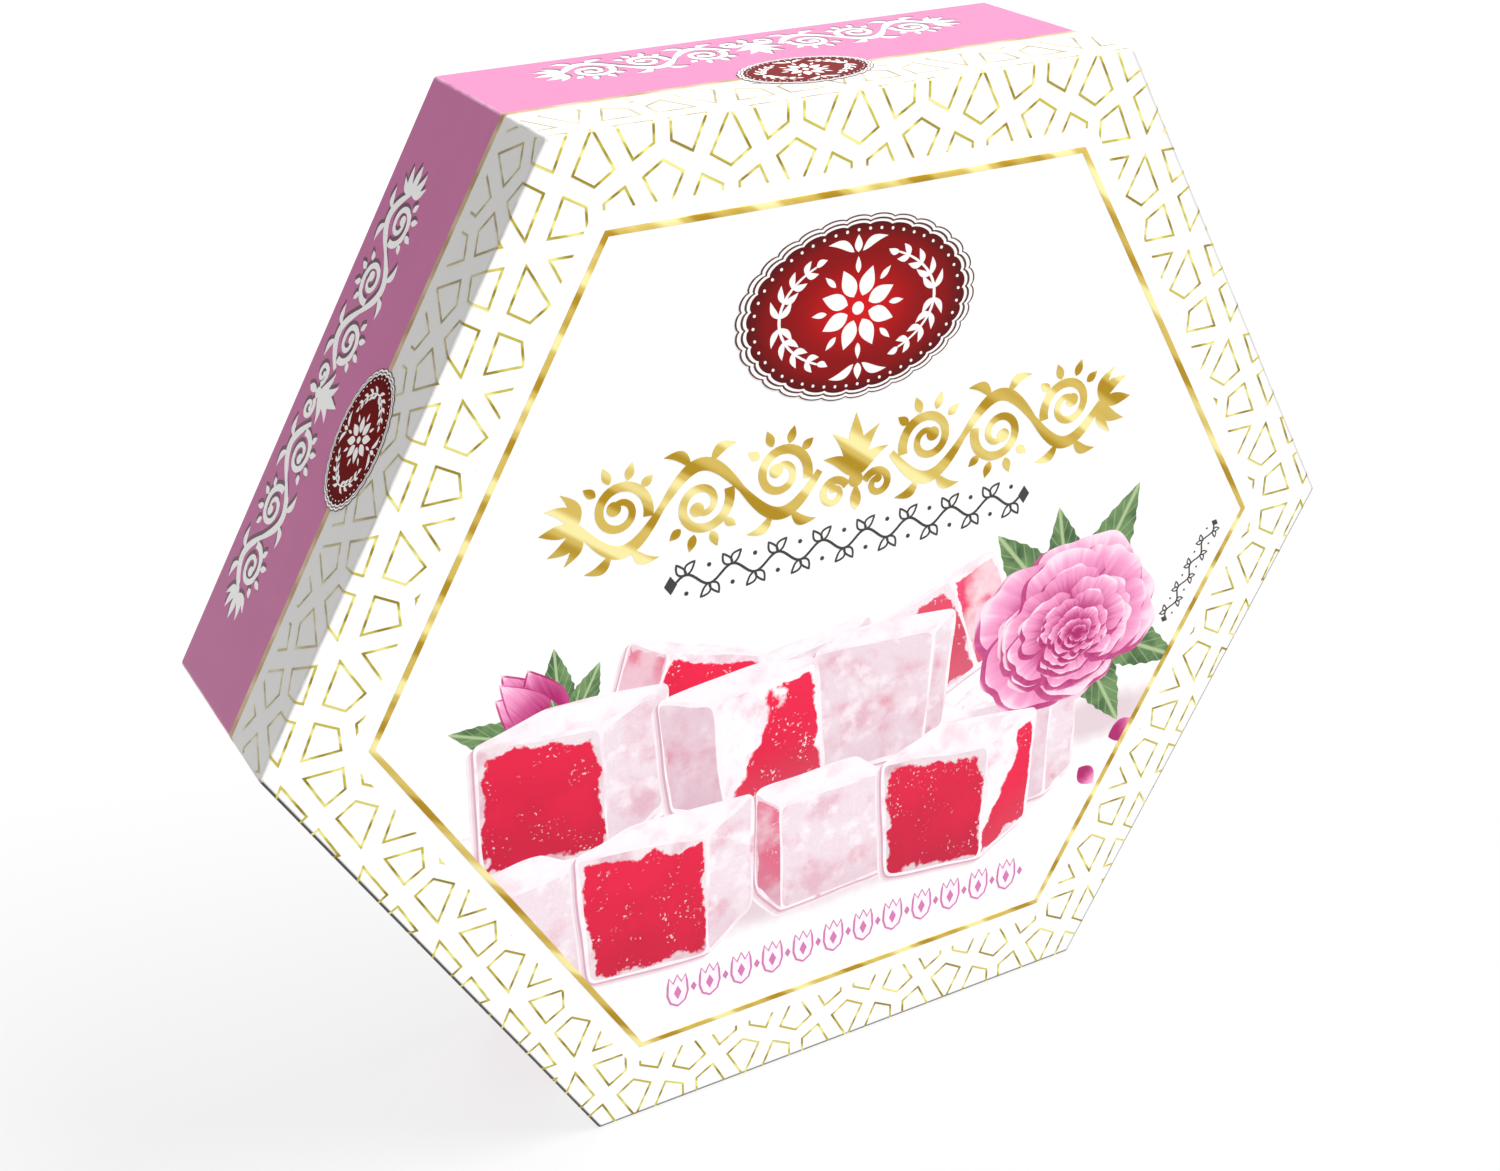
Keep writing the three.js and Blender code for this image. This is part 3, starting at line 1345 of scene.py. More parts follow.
@dataclass(frozen=True)
class GirihBorder:
    """The girih net in fine foil round both panels, which runs on over the front folds onto the walls."""

    form: CartonForm
    cells: StarCells = StarCells()
    lift: float = 0.03
    inner_edge: float = 71.45
    back_band: Point = (50.0, 64.7)
    corner_gap: float = 0.6
    wall_margin: float = 0.5
    band_depth: float = 10.6
    wall_stretch: float = 1.06
    stars: int = 12
    rows: int = 13
    wall_rows: int = 15
    fold_cuts: int = 3

    def _fold_cuts(self, out: Point) -> list[Plane]:
        """Lines along the fold that lies this way, which let the foil bend round it."""
        last, radius = self.fold_cuts, self.form.fold_radius
        return [(out, self.form.apothem + radius * i / last, False) for i in range(-last, last + 1)]

    def _ring(self, inner: float, outer: float, corner: float) -> Sheet:
        """The part of the net between two hexagons, cut along the lines through their corners.

        Args:
            inner: From the middle to the inner hexagon's sides.
            outer: From the middle to the outer hexagon's sides.
            corner: From the middle to where the corners are cut off.

        Returns:
            The sheet.
        """
        net = self.cells.net(self.stars, self.rows)
        sheet = Sheet()
        for wall in range(WALLS):
            out, _ = self.form.ways(wall)
            planes = [(out, outer, True), ((-out[0], -out[1]), -inner, True)]
            for swing in (-CORNER_TURN, CORNER_TURN):
                reach = self.form.heading(wall) + swing
                square = reach + copysign(pi / 2, swing)
                planes.append(((cos(square), sin(square)), 0.0, True))
                planes.append(((cos(reach), sin(reach)), corner, True))
            part = cut(net, planes + self._fold_cuts(out))
            sheet = sheet.joined(Sheet.from_mesh(part, LINE_FOIL))
        return sheet

    def build_panels(self) -> list[Piece]:
        """Builds the front panel's border, which bends over the six folds, and the back panel's.

        Returns:
            The two pieces.
        """
        form = self.form
        front = self._ring(self.inner_edge, form.apothem, form.side - self.corner_gap)
        back = self._ring(*self.back_band, form.side)
        laid = front.lay("girih_border_front", form.over_fold, self.lift)
        return [laid, back.lay("girih_border_back", form.back, self.lift)]

    def build_wall(self, wall: int) -> Piece:
        """Builds the band of one wall, which carries on the front panel's net past the fold.

        Args:
            wall: The wall's number.

        Returns:
            The piece.
        """
        form = self.form
        out, ahead = form.ways(wall)
        half = form.side / 2 - self.wall_margin
        planes = [(ahead, half, True), ((-ahead[0], -ahead[1]), half, True)]
        planes += [((-out[0], -out[1]), -form.apothem, True)]
        planes += [(out, form.apothem + self.band_depth / self.wall_stretch, True)]
        net = self.cells.net(self.stars, self.wall_rows)
        band = Sheet.from_mesh(cut(net, planes + self._fold_cuts(out)), WALL_LINE_INK)

        def place(x: float, y: float, lift: float) -> Vector:
            """A point of the panel's net on the wall."""
            past = x * out[0] + y * out[1] - form.apothem
            return form.wall(wall, x * ahead[0] + y * ahead[1], -past * self.wall_stretch, lift)

        return band.lay(f"girih_band_{wall}", place, self.lift)


@dataclass(frozen=True)
class FoilRules:
    """The broad gold lines: the frame of each panel and the line round the walls."""

    form: CartonForm
    frame_corner: float = 78.8
    frame_width: float = 1.0
    inner_corner: float = 56.3
    inner_width: float = 0.5
    wall_line: float = 13.45
    wall_width: float = 1.1
    rise: float = 0.05
    roundness: float = 0.8
    side_steps: int = 8
    wall_steps: int = 12
    widest_mitre: float = 0.3

    def _sweep(
        self, name: str, path: Sequence[Vector], outward: Sequence[Vector], width: float, foil: StampedFoil
    ) -> Piece:
        """Sweeps a low rounded ridge of foil along a closed path.

        Args:
            name: The piece's name.
            path: The points, on the board, in metres.
            outward: The way off the board at each point.
            width: The ridge's width in millimetres.
            foil: Its finish.

        Returns:
            The piece.
        """
        mesh = closed_path(name, path)
        mitre = mesh.attributes.new("mitre", "FLOAT", "POINT")
        normal = mesh.attributes.new("outward", "FLOAT_VECTOR", "POINT")
        for i, point in enumerate(path):
            back = (point - path[i - 1]).normalized()
            ahead = (path[(i + 1) % len(path)] - point).normalized()
            mitre.data[i].value = 1.0 / max(self.widest_mitre, sqrt((1 + back.dot(ahead)) / 2))
            normal.data[i].vector = outward[i]
        tree = Tree("foil_rule", {"Width": width * MM, "Rise": self.rise * MM}, foil)
        rise = tree.inputs["Rise"]
        line = tree.node("GeometryNodeMeshToCurve", (tree.inputs["Geometry"],))
        facing = tree.node("GeometryNodeInputNamedAttribute", {"Name": "outward"}, data_type="FLOAT_VECTOR")
        line = tree.node("GeometryNodeSetCurveNormal", {"Curve": line, "Normal": facing}, mode="FREE")
        wide = tree.node("GeometryNodeInputNamedAttribute", {"Name": "mitre"}, data_type="FLOAT")
        line = tree.node("GeometryNodeSetCurveRadius", {"Curve": line, "Radius": wide})
        height = reckon(tree.tree, rise, ("MULTIPLY", 2.0))
        fields = {"Width": height, "Height": tree.inputs["Width"]}
        section = tree.node("GeometryNodeCurvePrimitiveQuadrilateral", fields)
        round_off = reckon(tree.tree, rise, ("MULTIPLY", self.roundness))
        fields = {"Curve": section, "Radius": round_off, "Count": 3}
        section = tree.node("GeometryNodeFilletCurve", fields, mode="POLY")
        tree.close(tree.node("GeometryNodeCurveToMesh", {"Curve": line, "Profile Curve": section}))
        result = tree.run(mesh)
        result.name = name
        return put(name, result)

    def build_frames(self) -> list[Piece]:
        """Builds the frame of each panel, and the thin line inside the back panel's border.

        Returns:
            The three pieces.
        """
        frame = self.frame_corner, self.frame_width
        rules = (
            ("gold_frame_front", self.form.front, *frame),
            ("gold_frame_back", self.form.back, *frame),
            ("gold_rule_back", self.form.back, self.inner_corner, self.inner_width),
        )
        built: list[Piece] = []
        for name, place, corner, width in rules:
            corners = hexagon(corner)
            path: list[Vector] = []
            for (x, y), end in zip(corners, corners[1:] + corners[:1]):
                for t in (step / self.side_steps for step in range(self.side_steps)):
                    path.append(place(x + (end[0] - x) * t, y + (end[1] - y) * t, 0.0))
            outward = Vector((0.0, copysign(1.0, path[0].y), 0.0))
            built.append(self._sweep(name, path, [outward] * len(path), width, GOLD_FOIL))
        return built

    def build_wall_line(self) -> Piece:
        """Builds the line round the six walls, where the white band meets the pink.

        Returns:
            The piece.
        """
        form = self.form
        half, half_arc = form.side / 2, form.half_arc
        straight = half - half_arc
        steps = range(self.wall_steps + 1)
        places = [-half + half_arc / 2, *(straight * (2 * i / self.wall_steps - 1) for i in steps)]
        places += [half - half_arc / 2, half]
        path: list[Vector] = []
        outward: list[Vector] = []
        for wall, x in product(range(WALLS), places):
            path.append(form.wall(wall, x, -self.wall_line))
            out = form.rim(wall, x, 0.0)[1]
            outward.append(Vector((out.x, 0.0, out.y)))
        return self._sweep("gold_line_walls", path, outward, self.wall_width, WALL_INK)


@dataclass(frozen=True)
class Medallion:
    """A scalloped seal with a beaded rim, a rosette and two sprays of leaves: a made-up, nameless mark."""

    red: SealRed = SEAL_RED
    white: Finish = SEAL_WHITE
    across: float = 20.4
    up: float = 13.85
    rings: tuple[float, ...] = (1.0, 0.987, 0.958, 0.938)
    body: float = 0.913
    scallops: int = 30
    wave: float = 0.028
    petals: int = 8
    beads: int = 48
    bead_radius: float = 0.24
    bead_ring: Point = (0.855, 0.845)
    bead_sides: int = 10
    ring_steps: int = 96
    stem: Point = (13.2, 8.6)
    stem_steps: int = 12
    stem_sweep: float = radians(58.0)
    lift: float = 0.09
    bead_rise: float = 0.03

    def _scalloped(self, share: float) -> Outline:
        """The seal's outline, scalloped all round.

        Args:
            share: How much of its size is kept.

        Returns:
            The outline.
        """
        outline: Outline = []
        steps = 8 * self.scallops
        for t in (tau * i / steps for i in range(steps)):
            reach = share * (1 - self.wave * (1 - abs(sin(self.scallops / 2 * t)) ** 0.6))
            outline.append(around((0.0, 0.0), t, self.across * reach, self.up * reach))
        return outline

    def _rosette(self) -> list[Outline]:
        """The flower in the middle: petals round a button, with a bract between each two.

        Returns:
            Its outlines.
        """
        drawn: list[Outline] = []
        for i in range(self.petals):
            heading = tau * (i + 0.5) / self.petals
            drawn.append(turned(leaf((1.9, 0.0), (6.5, 0.0), 2.5), heading))
            drawn.append(turned(leaf((5.3, 0.0), (7.8, 0.0), 0.9), heading + pi / self.petals))
        return [*drawn, oval((0.0, 0.0), 1.0, 1.0, 16)]

    def _spray(self, side: int, up: int) -> list[Outline]:
        """One quarter of the wreath: a stem with pairs of leaves.

        Args:
            side: 1 to the right of the rosette, -1 to its left.
            up: 1 above its middle, -1 below.

        Returns:
            Its outlines.
        """
        across, high = side * self.stem[0], up * self.stem[1]
        angles = [self.stem_sweep * i / self.stem_steps for i in range(self.stem_steps + 1)]
        stem = [around((0.0, 0.0), t, across, high) for t in angles]
        drawn = brush(stem, lambda t: 0.5 - 0.2 * t)
        for i in (1, 4, 7, 10, 12):
            ahead = atan2(high * cos(angles[i]), -across * sin(angles[i]))
            size = 3.2 - 0.1 * i
            for swing in (-0.6, 0.6) if i < self.stem_steps else (0.0,):
                tip = around(stem[i], ahead + swing, size, size)
                drawn.append(leaf(stem[i], tip, 1.0, 0.1 * copysign(1.0, swing)))
        return drawn

    def drawing(self) -> Sheet:
        """Draws the seal about its middle.

        Returns:
            The sheet.
        """
        inks = (SEAL_DARK, self.white, SEAL_DARK, self.white)
        fields = [Field(self._scalloped(share), ink) for share, ink in zip(self.rings, inks)]
        local = from_centre((0.0, 0.0), self.across, self.up)
        fields.append(Field(self._scalloped(self.body), self.red, local))
        white = self._rosette()
        for side, up in product((-1, 1), repeat=2):
            white += self._spray(side, up)
        for up in (-1, 1):
            white.append(leaf((0.0, up * 8.4), (0.0, up * 11.0), 1.3))
            for side in (-1, 1):
                white.append(leaf((side * 0.7, up * 8.5), (side * 5.0, up * 10.1), 1.3, 0.14 * side * up))
        return Sheet.from_fields(fields + [Field(outline, self.white) for outline in white])

    def beading(self) -> Sheet:
        """Strings small beads along the seal's rim.

        Returns:
            The sheet.
        """
        across, up = self.across * self.bead_ring[0], self.up * self.bead_ring[1]
        ring = oval((0.0, 0.0), across, up, self.ring_steps)
        rim = closed_path("seal_rim", [Vector((*point, 0.0)) for point in ring])
        tree = Tree("seal_beads", {"Beads": self.beads, "Bead Radius": self.bead_radius}, self.white)
        loop = tree.node("GeometryNodeMeshToCurve", (tree.inputs["Geometry"],))
        fields = {"Curve": loop, "Count": tree.inputs["Beads"]}
        spots = tree.node("GeometryNodeResampleCurve", fields, mode="COUNT")
        fields = {"Vertices": self.bead_sides, "Radius": tree.inputs["Bead Radius"]}
        bead = tree.node("GeometryNodeMeshCircle", fields, fill_type="NGON")
        tree.close(tree.node("GeometryNodeInstanceOnPoints", {"Points": spots, "Instance": bead}))
        return Sheet.from_mesh(tree.run(rim), self.white)

    def build(self, name: str, place: Place) -> list[Piece]:
        """Lays the seal and its beads under this name, with the seal's middle at this place."""
        seal = self.drawing().lay(name, place, self.lift)
        return [seal, self.beading().lay(f"{name}_beads", place, self.lift + self.bead_rise)]


@dataclass(frozen=True)
class ScrollOrnament:
    """A bold band of scrolling vine, mirrored about a palmette, that fills a lettering's place."""

    half_width: float = 51.9
    height: float = 15.9
    waves: int = 3
    middle: float = 6.3
    tail: float = 6.0
    dip: float = 0.34
    wave_steps: int = 24
    scroll: float = 4.8
    eye: float = 1.15
    stem: float = 1.4
    shadow: Point = (-0.7, -0.75)
    lift: float = 0.05

    def _wave(self, start: float, pitch: float, up: int) -> list[Outline]:
        """One half wave of the vine, with its scroll, its crown of leaves and its two low leaves.

        Args:
            start: Where it starts on the band's middle line.
            pitch: Its length.
            up: 1 if it curls over the top, -1 if under the bottom.

        Returns:
            Its fields, which overlap.
        """
        middle = start + pitch / 2
        dip = self.dip * self.height
        along = [step / self.wave_steps for step in range(self.wave_steps + 1)]
        rise = [(start + pitch * t, -up * dip * sin(pi * t)) for t in along]
        drawn = brush(rise, lambda t: self.stem * (0.75 + 0.75 * sin(pi * t)))
        centre = (middle, up * 0.9)
        curl = volute(centre, (self.scroll, 1.1), pi + 0.35 * up, -1.45 * up, 44)
        drawn += brush(curl, lambda t: self.stem * (1.15 - 0.5 * t))
        drawn.append(oval(curl[-1], self.eye, self.eye, 16))
        for turn, size in ((-0.85, 2.5), (-0.3, 3.1), (0.3, 3.1), (0.85, 2.5)):
            heading = pi / 2 + turn
            root = (centre[0] + self.scroll * cos(heading), up * (0.9 + self.scroll * sin(heading)))
            drawn.append(leaf(root, around(root, heading, size, up * 0.9 * size), 1.45))
        low = -up * (dip + 0.5 * self.stem)
        for side in (-1, 1):
            root = (middle + side * 1.6, low + up * 0.7)
            drawn.append(leaf(root, (middle + side * 6.0, low - up * 1.5), 1.7, side * up * -0.2))
        return drawn

    def _palmette(self) -> list[Outline]:
        """The motif in the band's middle: a fan of leaves over two volutes and a drop.

        Returns:
            Its outlines.
        """
        drawn = [leaf((0.0, -2.2), (0.0, 0.5 * self.height), 3.0), oval((0.0, -2.9), 1.25, 1.25, 16)]
        drawn.append(leaf((0.0, -0.5 * self.height), (0.0, -3.6), 1.9))
        for side in (-1, 1):
            for turn, reach, width in ((0.5, 8.6, 2.4), (1.0, 6.8, 2.0)):
                tip = around((0.0, -2.2), pi / 2 - side * turn, reach, reach)
                drawn.append(leaf((side * 0.7, -2.2), tip, width, side * 0.16))
            curl = volute((side * 3.9, -4.4), (2.5, 0.8), pi / 2 + side * 1.2, -1.2 * side, 26)
            drawn += brush(curl, lambda t: self.stem * (0.95 - 0.3 * t))
            drawn.append(oval(curl[-1], 0.7, 0.7, 12))
        return drawn

    def outlines(self) -> list[Outline]:
        """The whole band about its middle.

        Returns:
            Its fields, which overlap.
        """
        pitch = (self.half_width - self.middle - self.tail) / self.waves
        right: list[Outline] = []
        for i in range(self.waves):
            right += self._wave(self.middle + i * pitch, pitch, 1 if i % 2 == 0 else -1)
        root = (self.half_width - self.tail, 0.0)
        fan = ((1.0, 0.0, 2.2), (0.82, 3.6, 2.1), (0.82, -3.6, 2.1), (0.4, 5.6, 1.8), (0.4, -5.6, 1.8))
        for reach, up, width in fan:
            bend = copysign(0.16, up) if up else 0.0
            right.append(leaf(root, (root[0] + reach * self.tail, up), width, bend))
        return right + [mirrored(outline) for outline in right] + self._palmette()

    def build(self, name: str, place: Place, ink: Finish, shadow: Finish | None = None) -> Piece:
        """Lays the band.

        Args:
            name: The piece's name.
            place: Where its middle lies.
            ink: What it is printed or stamped in.
            shadow: The ink of a shadow down to its left, if it has one.

        Returns:
            The piece.
        """
        outlines = self.outlines()
        fields = [Field(outline, ink) for outline in outlines]
        if shadow:
            right, up = self.shadow
            below = [Field([(x + right, y + up) for x, y in outline], shadow) for outline in outlines]
            fields = below + fields
        return Sheet.from_fields(fields).lay(name, place, self.lift)


@dataclass(frozen=True)
class HairlineVine:
    """A thin dark vine with open leaves, in the place of a small line of lettering."""

    half_width: float = 31.0
    swing: float = 1.15
    wave: float = 7.75
    step: float = 0.5
    line: float = 0.42
    leaf_reach: float = 3.1
    lift: float = 0.03

    def _open_leaf(self, root: Point, tip: Point) -> list[Outline]:
        """A leaf drawn as a hairline."""
        outline = leaf(root, tip, 0.4 * self.leaf_reach, 0.1)
        return brush([*outline, outline[0]], lambda t: self.line * 0.8)

    def build(self, name: str, place: Place) -> Piece:
        """Lays the vine.

        Args:
            name: The piece's name.
            place: Where its middle lies.

        Returns:
            The piece.
        """
        steps = round(2 * self.half_width / self.step)
        span = [self.half_width * (2 * i / steps - 1) for i in range(steps + 1)]
        vine = [(x, self.swing * sin(tau * x / self.wave)) for x in span]
        drawn = brush(vine, lambda t: self.line)
        reach = self.leaf_reach
        for i in range(round(4 * self.half_width / self.wave)):
            x = -self.half_width + (i + 0.5) * self.wave / 2
            up = 1 if sin(tau * x / self.wave) > 0 else -1
            for side in (-1, 1):
                drawn += self._open_leaf((x, up * self.swing), (x + side * 0.5 * reach, up * reach))
            drawn.append(oval((x, -up * 0.62 * reach), 0.12 * reach, 0.12 * reach, 10))
        for side in (-1, 1):
            end = side * (self.half_width + 0.2 * reach)
            diamond = ((0.35, 0.0), (0.0, 0.5), (-0.35, 0.0), (0.0, -0.5))
            drawn.append([(end + x * reach, y * reach) for x, y in diamond])
        fields = [Field(outline, BLACK_INK) for outline in drawn]
        return Sheet.from_fields(fields).lay(name, place, self.lift)


@dataclass(frozen=True)
class BudRow:
    """A row of outlined tulip buds with diamonds between them, in the place of a lower subtitle."""

    buds: int = 12
    pitch: float = 5.9
    foot: Point = (0.0, -2.9)
    side: tuple[Point, ...] = ((1.35, -2.0), (1.85, -0.4), (1.75, 1.6), (1.5, 3.0), (0.75, 1.75))
    tip: Point = (0.0, 3.3)
    heart: tuple[Point, ...] = ((0.0, -1.6), (0.7, -0.2), (0.0, 1.2), (-0.7, -0.2))
    diamond: tuple[Point, ...] = ((0.55, 0.0), (0.0, 0.9), (-0.55, 0.0), (0.0, -0.9))
    line: float = 0.36
    lift: float = 0.03
    line_rise: float = 0.02

    def build(self, place: Place) -> list[Piece]:
        """Lays the row.

        Args:
            place: Where its middle lies.

        Returns:
            The buds' pale fill and their outlines.
        """
        cup = [self.foot, *self.side, self.tip, *mirrored(self.side)]
        lines = brush([*cup, cup[0]], lambda t: self.line)
        lines += [list(self.heart), [(self.pitch / 2 + x, y) for x, y in self.diamond]]
        laid: list[Piece] = []
        layers = (("bud_row_fill", [cup], PALE_ROSE_INK), ("bud_row_lines", lines, ROSE_INK))
        for level, (name, motif, ink) in enumerate(layers):
            sizes = {"Motif": flat_object(f"{name}_motif", motif), "Buds": self.buds, "Pitch": self.pitch}
            tree = Tree(name, sizes, ink)
            offset = tree.node("ShaderNodeCombineXYZ", (tree.inputs["Pitch"],))
            fields = {"Count": tree.inputs["Buds"], "Offset": offset}
            tree.repeat("Motif", tree.node("GeometryNodeMeshLine", fields))
            row = tree.run(bpy.data.meshes.new(name))
            row.transform(Matrix.Translation((-self.pitch * (self.buds - 1) / 2, 0.0, 0.0)))
            laid.append(Sheet.from_mesh(row, ink).lay(name, place, self.lift + self.line_rise * level))
        return laid


@dataclass(frozen=True)
class Sweet:
    """One pictured cube of jelly: where it lies on the pictured table, how it is turned and leans,
    and what covers its front and its side."""

    x: float
    away: float
    up: float
    turn: float
    lean: float
    front: Starch
    side: Starch = Starch.DUSTED
    size: float = 22.5


@dataclass(frozen=True)
class Quad:
    """A four-sided face of a pictured sweet, from its lower left corner round, and its own map."""

    corners: Outline
    gap: float = 0.6
    swell: Point = (-0.3, 0.35)

    @property
    def upright(self) -> list[Vector]:
        """The corners counter-clockwise, with the map's x to the right."""
        a, b, c, d = (Vector(corner) for corner in self.corners)
        return [a, b, c, d] if (c - a).cross(d - b) > 0 else [b, a, d, c]

    def share(self, x: float, y: float) -> Point:
        """How far across and up the face a point is, by its distances from the four sides.

        Args:
            x: The point's place to the right, in the picture.
            y: Its place upwards.

        Returns:
            The two shares, from 0 to 1.
        """
        corners = self.upright
        far: list[float] = []
        for start, end in zip(corners, corners[1:] + corners[:1]):
            far.append((end - start).normalized().cross(Vector((x, y)) - start))
        below, right, above, left = far
        return left / (left + right), below / (below + above)

    def field(self, ink: Finish, tone: Point, draw: random.Random) -> Field:
        """The face as a field, a little inside its edges.

        Args:
            ink: Its ink.
            tone: Its tone map.
            draw: The source of its unevenness.

        Returns:
            The field.
        """
        middle = sum(self.upright, Vector((0.0, 0.0))) / 4
        inset = [tuple(c + (middle - c).normalized() * self.gap) for c in self.upright]
        return Field(uneven(inset, self.swell, draw), ink, self.share, tone)


@dataclass(frozen=True)
class StillLife:
    """The picture in the frame: a heap of starch-dusted sweets with a rose and a bud beside it."""

    form: CartonForm
    lift: float = 0.02
    crop_corner: float = 78.5
    foot: Point = (-9.0, -49.0)
    tilt: float = radians(15.0)
    eye: float = 420.0
    lamp: Triple = (0.5, -0.55, 0.67)
    unevenness: float = 0.085
    shade_step: Point = (-0.38, -0.3)
    darkest: float = 0.36
    petal_steps: int = 26
    petal_squash: float = 0.86
    leaf_steps: int = 22
    tooth: float = 0.09
    seed: int = 23
    sweets: tuple[Sweet, ...] = (
        Sweet(-22.0, 36.0, 26.0, 22.0, 19.0, Starch.CUT, Starch.BLUSH, 20.5),
        Sweet(2.0, 39.0, 21.0, -14.0, -7.0, Starch.DUSTED, Starch.DUSTED, 20.0),
        Sweet(28.0, 35.0, 25.0, -28.0, -23.0, Starch.PART, Starch.BLUSH, 20.5),
        Sweet(-56.0, 25.0, 0.0, -18.0, 0.0, Starch.DUSTED),
        Sweet(-30.0, 26.0, 0.0, 12.0, 0.0, Starch.BLUSH),
        Sweet(-4.0, 25.0, 0.0, -9.0, 0.0, Starch.DUSTED),
        Sweet(20.0, 26.0, 0.0, 15.0, 0.0, Starch.BLUSH),
        Sweet(43.0, 27.0, 0.0, -20.0, 0.0, Starch.DUSTED),
        Sweet(-40.0, 20.0, 19.5, -23.0, 2.0, Starch.CUT, Starch.DUSTED, 23.0),
        Sweet(-11.0, 18.0, 19.5, 29.0, -5.0, Starch.PART, Starch.DUSTED, 21.5),
        Sweet(15.0, 21.0, 19.5, -12.0, 4.0, Starch.DUSTED, Starch.DUSTED, 22.5),
        Sweet(-51.0, 2.0, 0.0, 27.0, 0.0, Starch.DUSTED, Starch.DUSTED, 20.0),
        Sweet(-24.0, -4.0, 0.0, -18.0, 0.0, Starch.CUT, Starch.DUSTED, 22.5),
        Sweet(3.0, 3.0, 0.0, 14.0, 0.0, Starch.DUSTED, Starch.BLUSH, 20.5),
        Sweet(30.0, -2.0, 0.0, -30.0, 0.0, Starch.CUT, Starch.PART, 22.0),
    )
    rose: Point = (43.0, -13.0)
    rose_radius: float = 19.0
    rose_away: float = 12.0
    rings: tuple[tuple[int, float, float], ...] = (
        (5, 1.0, 0.84),
        (6, 0.86, 0.7),
        (6, 0.7, 0.68),
        (7, 0.55, 0.6),
        (7, 0.41, 0.6),
        (6, 0.29, 0.66),
        (5, 0.18, 0.8),
        (3, 0.1, 1.1),
    )

    def _seen(self, point: Vector) -> Point:
        """Where a point of the pictured table lies on the panel.

        Args:
            point: The point, to the right, away from the eye and up.

        Returns:
            Its place in the picture.
        """
        depth = point.y * cos(self.tilt) - point.z * sin(self.tilt)
        shrink = self.eye / (self.eye + depth)
        up = point.z * cos(self.tilt) + point.y * sin(self.tilt)
        return self.foot[0] + point.x * shrink, self.foot[1] + up * shrink

    def _sweet(self, sweet: Sweet, draw: random.Random) -> list[Field]:
        """Draws one sweet: its cast shade, its white edges, then each face that shows.

        Args:
            sweet: The sweet.
            draw: The source of its unevenness.

        Returns:
            Its fields, lowest first.
        """
        half = sweet.size / 2
        middle = Vector((sweet.x, sweet.away, sweet.up + half))
        turn, lean = radians(sweet.turn), radians(sweet.lean)
        spin = Matrix.Rotation(turn, 3, "Z") @ Matrix.Rotation(lean, 3, "Y")
        seen: dict[tuple[int, ...], Point] = {}
        for signs in product((-1, 1), repeat=3):
            corner = Vector(s + draw.uniform(-self.unevenness, self.unevenness) for s in signs)
            seen[signs] = self._seen(middle + spin @ (corner * half))
        spots = list(seen.values())
        hull = uneven([spots[i] for i in convex_hull_2d(spots)], (0.0, 0.45), draw)
        fields: list[Field] = []
        right, down = self.shade_step
        for far, ink in zip((3, 2, 1), CAST_SHADES):
            fields.append(Field([(x + right * far, y + down * far) for x, y in hull], ink))
        fields.append(Field(hull, Starch.TOP.value, lambda x, y: (0.5, 0.5), (draw.uniform(0.0, 9.0), 0.04)))
        sight = Vector((0.0, cos(self.tilt), -sin(self.tilt)))
        inks = (sweet.side, sweet.front, Starch.TOP)
        for axis, sign in product(range(3), (-1, 1)):
            normal = spin.col[axis] * sign
            if -normal.dot(sight) < 0.1:
                continue
            square = ((-1, -1), (1, -1), (1, 1), (-1, 1))
            quad = [seen[(*pair[:axis], sign, *pair[axis:])] for pair in square]
            lit = min(1.0, max(0.0, normal.dot(Vector(self.lamp))) * 1.6)
            tone = (draw.uniform(0.0, 9.0), self.darkest * (1 - lit))
            fields.append(Quad(quad).field(inks[axis].value, tone, draw))
        return fields

    def _petal(
        self, centre: Point, heading: float, reach: float, spread: float, tone: Point, seed: int
    ) -> Field:
        """Draws one petal that opens away from a rose's middle.

        Args:
            centre: The rose's middle.
            heading: The way the petal points, in radians.
            reach: Its length.
            spread: Half the angle that it spans.
            tone: Its tone map; the second number is how deep in the rose it sits.
            seed: The seed of its ruffles.

        Returns:
            The field.
        """
        draw = random.Random(seed)
        waves = [draw.uniform(0.0, tau) for _ in range(2)]
        notch = draw.uniform(-0.4, 0.4)
        dip = draw.uniform(0.03, 0.11)
        squash = self.petal_squash
        edge: Outline = []
        for t in (2 * i / self.petal_steps - 1 for i in range(self.petal_steps + 1)):
            lobe = 1 - 0.26 * abs(t) ** 2.6 - dip * exp(-(((t - notch) / 0.16) ** 2))
            ruffle = 0.026 * sin(5 * t + waves[0]) + 0.015 * sin(12 * t + waves[1])
            far = reach * (lobe + ruffle)
            edge.append(around(centre, heading + spread * t, far, squash * far))
        for t in (0.85, 0.5, 0.0, -0.5, -0.85):
            near = 0.45 * reach * t * t
            edge.append(around(centre, heading + spread * 0.85 * t, near, squash * near))

        def local(x: float, y: float) -> Point:
            """Across the petal from -1 to 1, and out along it from 0 to 1."""
            dx, dy = x - centre[0], (y - centre[1]) / squash
            return ((atan2(dy, dx) - heading + pi) % tau - pi) / spread, hypot(dx, dy) / reach

        return Field(edge, PETAL, local, tone)

